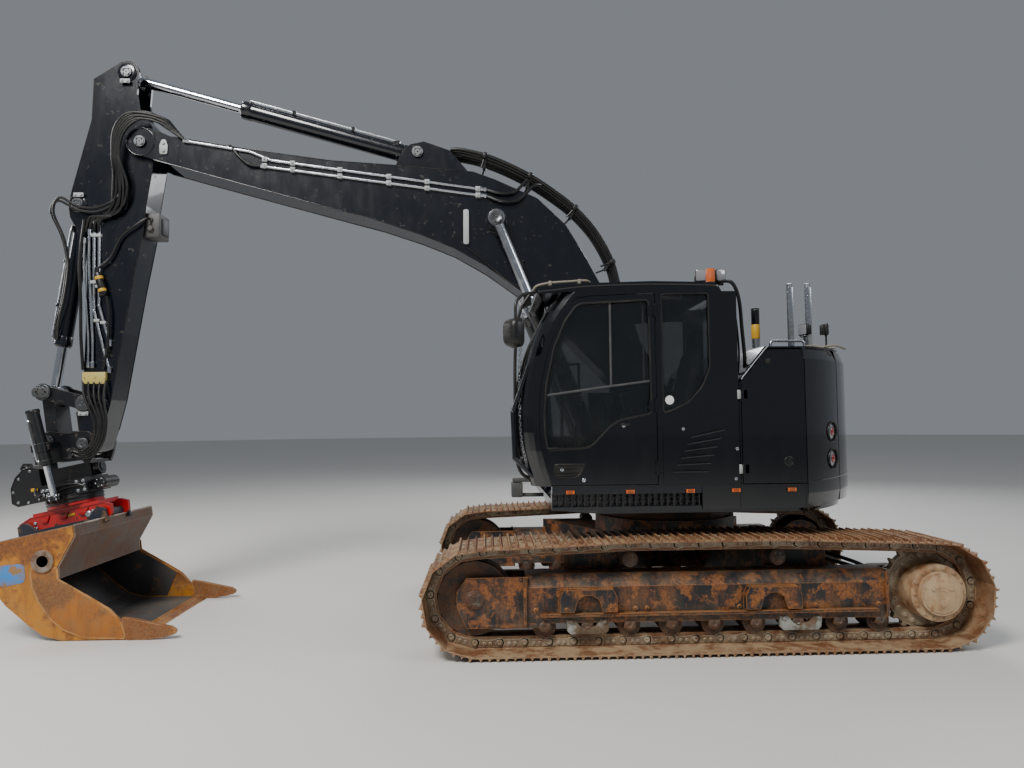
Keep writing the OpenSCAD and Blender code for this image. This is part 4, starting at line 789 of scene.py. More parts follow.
def cabDetails():
    v = cab
    y = v["faceY"]
    seatSide, doorSide, low, high = v["seal"]
    left, right = screenLine(doorSide, low, high, 12), screenLine(seatSide, low, high, 12)
    seals = [rimRun(smoothLoop(v["doorWindow"], 30), y - 2, 8, flat=0.6),
             rimRun(smoothLoop(v["rightWindow"], 40), v["rightY"] - 1, 9, flat=0.6),
             sweep(np.vstack([left, right[::-1]]), 9, 8, hint=(1, 0, 0.01))]
    seals += [sweep(screenLine(yy, low, high, 16), 5, 6) for yy in (doorSide, seatSide)]
    back = [(v["rear"] - 1, yy, z)
            for yy, z in ((1330, 1950), (1330, 2680), (520, 2680), (520, 1950), (1330, 1950))]
    seals.append(sweep(bent(back, 40), 8, 8, hint=(1, 0, 0)))
    upperPiece("cab_window_seals", seals, "seal")
    # the door's share of the seals rides on the door
    door = rimRun(smoothLoop(v["doorWindow"], 30), y - 1, 9, flat=0.6)
    makePiece("door_window_seal", door, "seal", "cab_door_leaf")
    quarter = rimRun(smoothLoop(v["quarterWindow"], 30), y - 4, 8, flat=0.6)
    upperPiece("quarter_window_seal", quarter, "seal")
    # aluminium sash of the sliding panes
    sash = [sweep([(1246, y - 14, 1982), (820, y - 14, 2040), (424, y - 14, 2090)], 9, 6, flat=0.5,
                  hint=(0, 1, 0)),
            sweep([(731, y - 12, z) for z in (2050, 2380, 2706)], 9, 6, flat=0.5, hint=(0, 1, 0)),
            rod((470, y - 30, 2088), (470, y - 30, 2716), 8, 6)]
    makePiece("door_sash", sash, "greyPlastic", "cab_door_leaf")
    # door furniture: hand recess with its ribs, latch bars, lock caps, blank round sticker
    hand = [(1176, 1452), (948, 1452), (986, 1372), (1020, 1352), (1150, 1352), (1172, 1372)]
    parts = [rimRun(smoothLoop(hand, 24), y + 1, 6),
             plate(smoothLoop(inset(hand[::-1], 8), 14), y - 2, y + 1, 0)]
    for z in (1372, 1396, 1430):
        parts.append(sweep([(1158, y + 4, z), (1080, y + 9, z), (1002, y + 4, z)], 6, 8, flat=0.8,
                           hint=(0, 0, 1)))
    parts.append(block((592, y - 1, 1745), (668, y + 10, 1762), 4))
    parts.append(block((1010, y - 1, 1570), (1230, y + 8, 1582), 3))
    makePiece("door_hand_recess", parts, "darkPlastic", "cab_door_leaf")
    caps = [across([(16, 0), (15, 4), (9, 7), (8, 5), (2, 5)], y, x, z, 1, 24)
            for x, z in ((1122, 1412), (955, 1332), (640, 1748))]
    makePiece("door_lock_caps", caps, "zinc", "cab_door_leaf")
    bodyCaps = [across([(13, 0), (12, 4), (7, 6), (2, 6)], y + 7, x, z, 1, 20)
                for x, z in ((180, 1716), (-238, 1560), (-222, 1330))]
    upperPiece("body_caps", bodyCaps, "zinc")
    upperPiece("blank_round_sticker", [across([(35, 0), (34, 1.2), (4, 1.4)], y - 22, 274, 1941, 1, 40)],
               "whiteVinyl")
    # louvre lips of the pressed panel
    lips = []
    for i in range(6):
        x, z, w, drop = 119 + i * 27.5, 1669 - i * 53, 256, 55 * (1 - i / 5)
        lips.append(sweep([(x + 4, y + 7, z - 16), (x - w / 2, y + 8, z + drop / 2 - 16),
                           (x - w - 4, y + 7, z + drop - 16)], 7, 8, flat=0.8, hint=(0, 1, 0)))
        lips.append(sweep([(x, y - 6, z + 2), (x - w / 2, y + 3, z + drop / 2 + 2),
                           (x - w, y - 6, z + drop + 2)], 5, 6, hint=(0, 1, 0)))
    upperPiece("louvre_lips", lips, "blackEnamel")
    # wiper with its motor cap
    blade = screenLine(900, 1560, 2250, 34, 12)
    arm = np.vstack([screenLine(925, 1470, 1470, 40, 1), screenLine(915, 1720, 1720, 52, 1),
                     screenLine(900, 1930, 1930, 44, 1)])
    wiper = [sweep(blade, 7, 6), sweep(spline(arm, 12), 9, 8),
             lathe([(34, -20), (34, 10), (24, 22), (6, 24)], 24, (pillarAt(1470) + 140, 925, 1470),
                   (1, 0, -0.1))]
    upperPiece("wiper", wiper, "darkPlastic")
    # roof: drip rail, visor lip, hatch rim and pale cable tube
    rail = [(1287, y - 10, 2794), (1175, y - 10, 2806), (886, y - 10, 2836), (391, y - 10, 2850),
            (-60, y - 10, 2842), (-120, y - 10, 2826)]
    trim = [cable(rail, 10, 30, 8), rod((1296, y - 20, 2794), (1296, 450, 2794), 16, 10, (1, 0, 0)),
            block((250, 640, 2862), (860, 1210, 2884), 10)]
    upperPiece("roof_trim", trim, "blackEnamel")
    tube = spline([(1330, 1300, 2800), (1290, 1330, 2850), (1180, 1340, 2872), (1040, 1342, 2882),
                   (900, 1330, 2890), (860, 1250, 2882)], 40)
    pale = [sweep(tube, 11, 12, hint=(0, 1, 0.02))]
    pale += [block((x - 12, 1330, z - 26), (x + 12, 1372, z + 12), 4) for x, z in ((1190, 2872), (960, 2886))]
    upperPiece("roof_cable_tube", pale, "paleTube")


cabDetails()


def cabFrontAndSeams():
    # seam under the quarter window, guard rail and chain down the cab's front edge, bracket at its foot
    y = cab["faceY"]
    line = np.array([(378, y + 1, 1726), (200, y + 1, 1762), (0, y + 1, 1802), (-256, y + 1, 1852)])
    upperPiece("cab_side_seam", [cable(line, 4, 24, 6), cable(line - (0, 0, 10), 3, 24, 6)], "blackEnamel")
    rail = [(1340, 1300, 2800), (1430, 1310, 2640), (1466, 1316, 2350), (1472, 1318, 1954),
            (1468, 1316, 1560), (1430, 1300, 1390), (1330, 1280, 1330)]
    upperPiece("front_guard_rail", cable(rail, 13, 60, 12), "darkPlastic", slot="black_paint")
    path = spline([(1400, 1322, 2640), (1421, 1326, 2387), (1440, 1328, 2033), (1420, 1326, 1641),
                   (1372, 1320, 1400)], 61)
    t = unit(np.gradient(path, axis=0))
    ring = sweep(bent([(0, -9, -13), (0, 9, -13), (0, 9, 13), (0, -9, 13), (0, -9, -14)], 9, 4), 3.2, 6,
                 hint=(1, 0, 0))
    swapped = np.array([[0, 1, 0], [1, 0, 0], [0, 0, 1.0]])
    links = [scatter(ring, path[k], (axisFrame(t[k], (0, 1, 0) if k % 2 else (1, 0, 0)) @ swapped)[None])
             for k in range(len(path))]
    upperPiece("front_chain", links, "zinc")
    low = [block((1300, 1060, 1300), (1490, 1130, 1330), 5), block((1410, 1040, 1180), (1500, 1150, 1296), 8),
           block((1240, 1080, 1180), (1414, 1110, 1210), 5)]
    upperPiece("front_low_bracket", low, "greyPlastic", slot="frame_paint")


cabFrontAndSeams()

interior = {"armY": 330, "armZ": 1850, "stickX": 580}


def cabInterior():
    v = interior
    parts, knobs = [], []
    for s in (-1, 1):
        y = cab["middleY"] + s * v["armY"]
        boot = [(46, 0), (44, 12), (30, 26), (34, 34), (22, 48), (25, 56), (14, 72), (12, 90)]
        parts.append(lathe(boot, 20, (v["stickX"], y, v["armZ"])))
        knobs.append(lathe([(12, 80), (18, 110), (26, 150), (28, 190), (22, 215), (10, 226)], 20,
                           (v["stickX"], y, v["armZ"] - 66), (0.18, 0, 1)))
        parts.append(block((90, y - 48, 1846), (430, y + 48, 1900), 18, 24))
        foot, top = cab["middleY"] + s * 90, cab["middleY"] + s * 92
        parts.append(cable([(1010, foot, 1400), (960, foot, 1600), (930, top, 1760), (900, top, 1900)],
                           9, 16, 8))
        knobs.append(lathe([(10, -20), (20, 0), (21, 20), (12, 34)], 16, (898, top, 1905)))
        parts.append(block((880, foot - 50, 1334), (1040, foot + 50, 1350), 6))
    parts.append(block((1010, 520, 1900), (1050, 730, 2050), 10, 14))
    parts.append(sweep([(1030, 620, 1500), (1034, 620, 1700), (1030, 620, 1910)], 14, 8, hint=(0, 1, 0)))
    parts.append(block((-190, 560, 1340), (40, 1290, 1700), 20, 30))
    upperPiece("cab_levers", parts + knobs, "darkPlastic")
    screen = [block((1004, 534, 1914), (1012, 716, 2036), 2)]
    upperPiece("monitor_face", screen, "glass")
    belt = [sweep(spline([(60, 700, 2150), (150, 690, 1950), (260, 670, 1860)], 16), 24, 6, flat=0.08,
                  hint=(0, 1, 0))]
    upperPiece("seat_belt", belt, "rubber", slot="seat_cloth")


cabInterior()

seat = {"pan": ((100, 675, 1700), (600, 1175, 1830)), "lean": 12, "backFoot": (120, 925, 1834.5),
        "back": (110, 480, 560), "head": (80, 260, 180)}


def cushion(w, d, h, n=26):
    # closed pillow on a grid from -1 to 1: z = h/2 ((1 - |u|^5)(1 - |v|^5))^.5 on both faces,
    # its sides drawn in between the corners, channels pressed into the top
    u, v = np.meshgrid(np.linspace(-1, 1, n), np.linspace(-1, 1, n), indexing="ij")
    x, y = w / 2 * u * (1 - 0.035 * (1 - v ** 2)), d / 2 * v * (1 - 0.035 * (1 - u ** 2))
    z = h / 2 * np.clip((1 - np.abs(u) ** 5) * (1 - np.abs(v) ** 5), 0, 1) ** 0.5
    beside, middle = (np.abs(u) - 0.62) / 0.05, v / 0.05
    channel = 1 - 0.10 * np.exp(-beside ** 2) - 0.10 * np.exp(-middle ** 2) * (np.abs(u) < 0.62)
    top, fa = gridPart(np.stack([x, y, z * channel], -1), loopV=False, ends=False)
    low, fb = gridPart(np.stack([x, y, -z], -1), loopV=False, ends=False)
    return np.vstack([top, low]), [fa[0], fb[0][:, ::-1] + n * n]


def seatPads():
    v = seat
    lo, hi = np.array(v["pan"], float)
    a = math.radians(v["lean"])
    lean = np.array([[math.cos(a), 0, -math.sin(a)], [0, 1, 0], [math.sin(a), 0, math.cos(a)]])
    # a pad standing on its edge, its crown forwards
    up = np.array([[0, 0, 1.0], [0, 1.0, 0], [-1.0, 0, 0]])
    parts = [("seat_pan_pad", moved(cushion(*(hi - lo)), (lo + hi) / 2))]
    for name, mid in (("back", (-55, 0, 282)), ("head", (-55, 0, 652))):
        deep, wide, high = v[name]
        points, faces = scatter(cushion(high, wide, deep), (0, 0, 0), up[None])
        parts.append(("seat_%s_pad" % name, ((points + mid) @ lean.T + v["backFoot"], faces)))
    for name, part in parts:
        ob = upperPiece(name, [part], "seatCloth", angle=80)
        smooth = ob.modifiers.new("soft", "SUBSURF")
        smooth.levels = smooth.render_levels = 1
    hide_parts("seat_cushions")


seatPads()

# mirrors: middle of the pane and the way its width runs
mirror = {"places": [((1466, 1476, 2462), (-0.64, 0.77)), ((1065, -1440, 2605), (-0.15, -0.99))],
          "size": (170, 220), "deep": 90}


def roundedShell(w, h, deep):
    # cap on a grid: x = w/2 C(u) C(v), z = h/2 C(u) S(v), y = -deep sin(u)^0.8, C and S being cos^.5, sin^.5
    u, v = np.meshgrid(np.linspace(0, np.pi / 2, 20), evenAngles(28), indexing="ij")
    cu, cv, sv = [np.sign(f) * np.abs(f) ** 0.5 for f in (np.cos(u), np.cos(v), np.sin(v))]
    return gridPart(np.stack([w / 2 * cu * cv, -deep * np.sin(u) ** 0.8, h / 2 * cu * sv], -1))


def mirrorPieces():
    w, h = mirror["size"]
    shell = roundedShell(w, h, mirror["deep"])
    rim = rimRun(smoothLoop(roundRect(w - 6, h - 6, 40), 10), 2, 7)
    pane = slab(roundRect(w - 18, h - 18, 34, 6), (0, 3, 0), (1, 0, 0), (0, 0, 1), 3, 1)
    body, panes = [], []
    for spot, (c, s) in mirror["places"]:
        face = np.array([[c, -s, 0], [s, c, 0], [0, 0, 1.0]])[None]  # columns: width, depth, height
        body += [scatter(p, spot, face) for p in (shell, rim)]
        panes.append(scatter(pane, spot, face))
    body.append(sweep(bent([(1290, 1360, 2795), (1400, 1400, 2780), (1470, 1480, 2700), (1470, 1480, 2540)],
                           50), 12, 12))
    body.append(sweep(bent([(1065, -1360, 2445), (1065, -1360, 2560), (1065, -1420, 2600)], 30), 12, 12))
    ob = upperPiece("mirror_housings", body, "darkPlastic", angle=50)
    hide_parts("mirrors")
    upperPiece("mirror_panes", panes, "mirrorGlass")


mirrorPieces()

# work lamps: spot of the lens and way it looks, width of all; each has a finned back and a clear lens
lamps = {"roof": [((-48, 1240, 2952), (0.35, 1, 0)), ((-210, 1240, 2952), (-0.35, 1, 0))],
         "mast": [((-1010, 905, 2550), (1, 0.4, 0)), ((-1240, 905, 2550), (-1, 0.35, 0))],
         "front": [((1405, 1200, 2756), (1, 0.2, -0.1))], "size": 98}


def tile(w, h, r, low, deep, edge, n=4, x=0):
    # a rounded rectangle in the plane x, y, from the height low up
    return slab(roundRect(w, h, r, n, (x, 0)), (0, 0, low), (1, 0, 0), (0, 1, 0), deep, edge)


def lampParts(spot, look, size):
    f = axisFrame(look)[None]
    lens = tile(size - 12, size - 12, 12, -4, 4, 1.5)
    shell = [tile(size, size, 14, -30, 26, 4), tile(size * 0.8, size * 0.7, 10, -52, 24, 3)]
    shell += [tile(4, size * 0.86, 1.5, -66, 40, 1, 3, x) for x in np.linspace(-size * 0.38, size * 0.38, 9)]
    half = [(0.52, 0, -18), (0.56, -0.4, -20), (0.3, -0.62, -20)]
    yoke = ([(-x * size, y * size, z) for x, y, z in half]
            + [(x * size, y * size, z) for x, y, z in half[::-1]])
    shell.append(sweep(yoke, 5, 6))
    return scatter(lens, spot, f), scatter(joinParts(shell), spot, f)


def workLamps():
    lit = [lampParts(spot, look, lamps["size"]) for group in ("roof", "mast", "front")
           for spot, look in lamps[group]]
    posts = [sweep([(-240, 1190, 2886), (-130, 1190, 2888), (-20, 1190, 2886)], 9, 8, hint=(0, 0, 1)),
             sweep([(-45, 1190, 2850), (-45, 1190, 2890), (-48, 1226, 2902)], 8, 8),
             sweep([(-208, 1190, 2884), (-208, 1200, 2890), (-210, 1226, 2902)], 8, 8),
             sweep([(1297, 1200, 2794), (1340, 1200, 2806), (1380, 1200, 2800)], 10, 8)]
    posts += [sweep([(x, 905, z) for z in (2361, 2430, 2502)], 8, 8) for x in (-1027, -1217)]
    shells = [shell for lens, shell in lit]
    ob = upperPiece("work_lamp_shells", shells + posts, "darkPlastic")
    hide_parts("work_lamps")
    upperPiece("work_lamp_lenses", [lens for lens, shell in lit], "clearLens")


workLamps()

beacon = {"spot": (-104, 1290, 2862), "foot": [(44, 0), (44, 8), (38, 14), (38, 22)]}


def beaconAndMarkers():
    amberRings = [lathe([(37.4, h), (38.6, h + 3), (37.4, h + 6)], 40, beacon["spot"])
                  for h in range(30, 100, 9)]
    upperPiece("beacon_ribs", amberRings, "amber")
    upperPiece("beacon_foot", [lathe(beacon["foot"], 32, beacon["spot"])], "darkPlastic")
    rims = []
    for x, y in ((1063, 1427), (601, 1427), (137, 1427), (-220, 1421), (-657, 1421)):
        rims.append(rimRun(roundRect(70, 32, 8, 4, (x, 1242)), y + 2, 5))
        rims.append(rimRun(roundRect(40, 12, 5, 4, (x, 1242)), y + 13, 2.5))
    upperPiece("marker_rims", rims, "darkPlastic")


beaconAndMarkers()

tail = {"lampAt": (-1092, 1195), "lampZ": (1465, 1682), "radius": 1625}


def tailDetails():
    x, y = tail["lampAt"]
    reds, clears, rims = [], [], []
    for s in (1, -1):
        out = unit(np.array([x, y * s, 0.0]))
        for z in tail["lampZ"]:
            at = np.array([x, y * s, z]) - out * 10
            rims.append(lathe([(84, 14), (84, 24), (79, 29), (74, 24), (72, -2), (69, -2)], 48, at, out))
            clears.append(lathe([(66, 0), (66, 8), (60, 14), (34, 19), (33, 15), (2, 15)], 48, at, out))
            reds.append(lathe([(32, 14), (32, 22), (26, 27), (4, 29)], 40, at, out))
    upperPiece("tail_lamp_rims", rims, "darkPlastic")
    upperPiece("tail_lamp_clear", clears, "clearLens")
    upperPiece("tail_lamp_red", reds, "redLens")
    # seam round the tail between the casting and its lower belt, lifting eyes, camera
    a = np.radians(np.linspace(122, 238, 60))
    r = tail["radius"] + 0.5
    seam = np.stack([r * np.cos(a), r * np.sin(a), 1330 - 44 * np.abs(np.sin(a)) ** 3], -1)
    parts = [sweep(seam, 4, 6, hint=(0, 0, 1))]
    for s in (1, -1):
        parts.append(plate(smoothLoop([(-1300, 2360), (-1300, 2400), (-1262, 2426), (-1224, 2400),
                                       (-1224, 2360)], 14), s * 760 - 14, s * 760 + 14, 4))
        parts += [rimRun(roundRect(34, 34, 16, 6, (-1262, 2396)), yy, 5)
                  for yy in (s * 760 + 14, s * 760 - 14)]
    parts.append(block((-1632, -70, 2180), (-1600, 70, 2250), 10, 8))
    upperPiece("tail_trim", parts, "blackEnamel")


tailDetails()

housing = {"lid": ((-1074, -1094), (-526, 244)), "hoodZ": 2360}


def housingDetails():
    h, y, stackAt = housing["hoodZ"], cab["faceY"], (-800, 400, housing["hoodZ"])
    # doors: round latch in its cup, lock, hinge leaves, louvres on the right door
    latch = [across([(38, 0), (38, 3), (33, 6), (30, 2), (12, 1), (12, 9), (3, 10)], y, -643, 1460, 1, 32),
             block((-652, y, 1440), (-634, y + 8, 1480), 3),
             across([(20, 0), (20, 3), (15, 5), (3, 5)], y, -500, 2240, 1, 24)]
    makePiece("service_door_latch", latch, "darkPlastic", "service_door_leaf")
    makePiece("pump_door_latch", [mirrored(part) for part in latch], "darkPlastic", "pump_door_leaf")
    for end, z in (("low", 1403), ("high", 1980)):
        for side, body, x0, x1 in (("door", "service_door_leaf", -330, -296),
                                   ("body", "upper_structure", -278, -250)):
            leaf = block((x0, y + 1, z - 36), (x1, y + 8, z + 36), 3)
            makePiece(side + "_hinge_leaf_" + end, leaf, "whiteClamp", body)
    slots = [sweep([(-700, -y - 2, z), (-560, -y - 4, z), (-420, -y - 2, z)], 8, 8, flat=0.7, hint=(0, 1, 0))
             for z in np.arange(1620, 1960, 38)]
    makePiece("pump_door_louvres", slots, "blackEnamel", "pump_door_leaf")
    # lid: rim bead, grab handle, latch, grille slats
    (x0, y0), (x1, y1) = housing["lid"]
    rim = sweep(bent([(x0, y0, h + 41), (x1, y0, h + 41), (x1, y1, h + 41), (x0, y1, h + 41),
                      (x0, y0 - 1, h + 41)], 40), 6, 8, hint=(0, 0, 1))
    handle = sweep(bent([(-590, -560, h + 38), (-590, -560, h + 84), (-590, -400, h + 84),
                         (-590, -400, h + 38)], 30), 9, 10)
    makePiece("hood_handle", [rim, handle, block((-560, 120, h + 38), (-530, 200, h + 52), 4)], "blackEnamel",
              "hood_lid")
    slats = [slab(roundRect(318, 5, 2, 3, (-800, 0)), (0, -888 + i * 60, h + 22), (1, 0, 0), (0, 0.86, 0.5),
                  16, 0.8) for i in range(10)]
    makePiece("hood_slats", slats, "darkPlastic", "hood_lid")
    # top of the housing: anti-slip studs, edge beads, silver grab rail, pale harness between the masts
    grip = studs(np.arange(-1020, -560, 34), np.arange(330, 560, 34), h, [(9, 0), (8, 3), (3, 4)])
    edge = rod((-505, -1300, h + 1), (-505, 1300, h + 1), 7, 8, (0, 0, 1))
    makePiece("housing_slope_edge",
              [sweep([(-500, 1418, h - 4), (-390, 1418, 2226), (-284, 1418, 2098)], 5, 8, hint=(0, 1, 0))],
              "zinc", "service_door_leaf", "frame_paint")
    upperPiece("housing_studs", [grip, edge], "blackEnamel")
    rail = sweep(bent([(-620, 1180, h), (-620, 1180, h + 62), (-900, 1180, h + 62), (-900, 1180, h)], 34),
                 11, 12)
    upperPiece("housing_grab_rail", [rail], "zinc")
    line = [(-900, 1060, h + 16), (-1000, 1080, h + 30), (-1090, 1060, h + 20), (-1180, 1090, h + 34),
            (-1260, 1060, h + 24), (-1330, 1000, h + 12)]
    harness = [cable(line, 9 + 2 * np.sin(np.arange(60) * 1.7), 60),
               cable([(-960, 1050, h + 14), (-1040, 1030, h + 40), (-1150, 1050, h + 14),
                      (-1240, 1020, h + 20)], 8, 40, 8)]
    upperPiece("mast_harness", harness, "paleTube")
    # stack: sleeve, yellow band, turned cap; masts: bolted angle with gusset and caps
    turned = ([(39, 6), (41, 10), (41, 30), (37.5, 34)], [(37.4, 250), (37.4, 436)],
              [(36.8, 440), (40, 446), (40, 451), (30, 451.5), (28, 380)])
    stack = [lathe(profile, 32, stackAt) for profile in turned]
    upperPiece("stack_sleeve", stack, "blackEnamel", slot="pipe_steel")
    upperPiece("stack_band", [lathe([(37.6, 170), (38.4, 172), (38.4, 300), (37.6, 302)], 32, stackAt)],
               "yellowTag", slot="pipe_steel")
    masts = [plate([(-1240, h), (-1130, h), (-1181, h + 210), (-1229, h + 210)], 596, 606, 2)]
    for xm in (-1040, -1205):
        masts.append(lathe([(30, 0), (30, 10), (25, 14)], 20, (xm, 600, h + 2)))
        masts.append(lathe([(24.5, 630), (27, 634), (27, 642), (12, 648)], 20, (xm, 600, h)))
        masts.append(plate(roundRect(46, 560, 6, 3, (xm, h + 330)), 617, 628, 2))
        masts.append(scatter(across([(9, 0), (9, 3), (6, 3)], 0, 0, 0, 1, 10),
                             [(xm, 627, zz) for zz in np.arange(h + 90, h + 600, 44)]))
    upperPiece("mast_plates", masts, "zinc")
    hose = sweep(spline([(-150, 1200, 2880), (-227, 1260, 2901), (-283, 1300, 2869), (-328, 1300, 2739),
                         (-346, 1300, 2498), (-364, 1290, 2298), (-380, 1240, 2180)], 60), 15, 10)
    upperPiece("cab_rear_hose",
               [hose, sweep(spline([(-262, 1260, 2700), (-300, 1262, 2660), (-320, 1264, 2500),
                                    (-330, 1262, 2300), (-318, 1260, 2150)], 40), 8, 8)],
               "rubber", slot="dark_plastic")


housingDetails()

right = {"tankY": 1400, "stepTop": 1620, "tankTop": 2080}


def rightSideDetails():
    v = right
    y, step, tank = -v["tankY"], v["stepTop"], v["tankTop"]
    treads = [studs(np.arange(680, 1120, 30), np.arange(y + 30, -600, 30), step, [(9, 0), (8, 4), (3, 5)]),
              studs(np.arange(-220, 600, 32), np.arange(y + 40, -1180, 32), tank, [(9, 0), (8, 4), (3, 5)]),
              rod((640, y, tank), (-250, y, tank), 8), rod((1150, y, step), (645, y, step), 8)]
    treads += [rimRun(smoothLoop([(x1, 1330), (x1, top), (x0, top), (x0, 1330)], 24), -y + 0.5, 5, side=-1)
               for x0, x1, top in ((690, 1110, 1590), (-210, 600, 2040))]
    upperPiece("tank_treads", treads, "blackEnamel")
    caps = [lathe([(62, 0), (62, 14), (54, 20), (50, 44), (46, 50), (10, 52)], 36, (180, -900, tank)),
            block((150, -925, tank + 50), (210, -875, tank + 62), 4)]
    caps += [across([(30, 0), (30, 4), (24, 7), (4, 7)], -y, x, z, -1, 24)
             for x, z in ((900, 1470), (560, 1700))]
    upperPiece("filler_caps", caps, "darkPlastic")
    hand = sweep(bent([(400, -520, tank), (400, -520, tank + 150), (-150, -520, tank + 150),
                       (-150, -520, tank)], 50), 14, 12)
    upperPiece("tank_grab_rail", [hand], "blackEnamel")


rightSideDetails()

deck = {"z": 1120, "motorX": 520, "meshX": (60, 1190), "meshZ": (1132, 1224)}


def deckDetails():
    x, z = deck["motorX"], deck["z"]
    body = [(150, 0), (150, 26), (120, 30), (120, 170), (136, 174), (136, 200), (92, 206), (92, 300),
            (70, 312), (20, 316)]
    motor = [lathe(body, 40, (x, 0, z)), bolts(ringOf(12, 134, x, z + 24), (0, 0, 1), 24, 12)]
    upperPiece("swing_motor", motor, "engineIron")
    # expanded mesh behind the sill: four zigzag wires that meet at their peaks
    mesh = []
    for i, zz in enumerate(np.linspace(*deck["meshZ"], 4)):
        x = np.arange(*deck["meshX"], 18.0)
        wire = np.stack([x, np.full(len(x), 1409.0), zz + 9 * (-1.0) ** (np.arange(len(x)) + i)], -1)
        mesh.append(sweep(wire, 3.2, 5, hint=(0, 1, 0)))
    mesh.append(rod((46, 1424, 1284), (1200, 1424, 1284), 5))
    upperPiece("sill_mesh", mesh, "darkPlastic", slot="black_paint")
    seams = [rod((x, 1421, 1105), (x, 1421, 1280), 2.5, 5, (1, 0, 0)) for x in (-257, -771)]
    upperPiece("skirt_seams", seams, "seal")


deckDetails()
print("upper structure dressed")


# boom: welds, caps, pipes and hoses

def pinCap(x, z, y, r=46, side=1, bolted=4):
    # end of a pin: dished cap with a chamfer, its grease nipple and the keeper's bolts round it
    cap = across([(r + 8, 0), (r + 8, 6), (r + 4, 9), (r - 2, 9), (r - 5, 15), (r * 0.62, 15), (r * 0.5, 10),
                  (r * 0.2, 10), (5, 17)], y, x, z, side, 40)
    heads = bolts(circleOf(bolted, r * 0.78, x, z, (y + 16) * side, 45), (0, side, 0), 13, 6)
    return [cap, heads]


# middles of the pins [forward, up]
pins = {"boomFoot": (150, 1850), "liftEye": (1590, 3675), "crowdFoot": (2335, 4370), "armFoot": (4921, 4444),
        "crowdEye": (5078, 5132), "curlFoot": (5508, 3867), "guideFoot": (5400, 1996),
        "curlEye": (5765, 2098), "tieFoot": (5698, 1651), "hitch": (5385, 1623)}

boomPiece = partial(makePiece, body="boom_frame")

boomLook = {
    "half": 200, "shift": 2,
    "under": [(110, 1745), (1351, 3016), (1680, 3253), (1990, 3432), (2302, 3560), (2690, 3690), (3061, 3790),
              (4279, 4126), (4790, 4270)],
    "over": [(4629, 4490), (3933, 4377), (3156, 4270), (2620, 4232), (1806, 4164), (1597, 4087), (1199, 3909),
             (930, 3650), (722, 3300), (120, 2160)],
    "bundle": [(250, 2560), (400, 3000), (481, 3308), (631, 3599), (830, 3833), (1049, 4008), (1260, 4145),
               (1471, 4252), (1691, 4339), (1911, 4392), (2026, 4400)],
    "bundleY": (-150, -108, -66, -24, 18, 60, 102, 144), "bundleR": (17, 15, 18, 14, 17, 18, 15, 16),
}


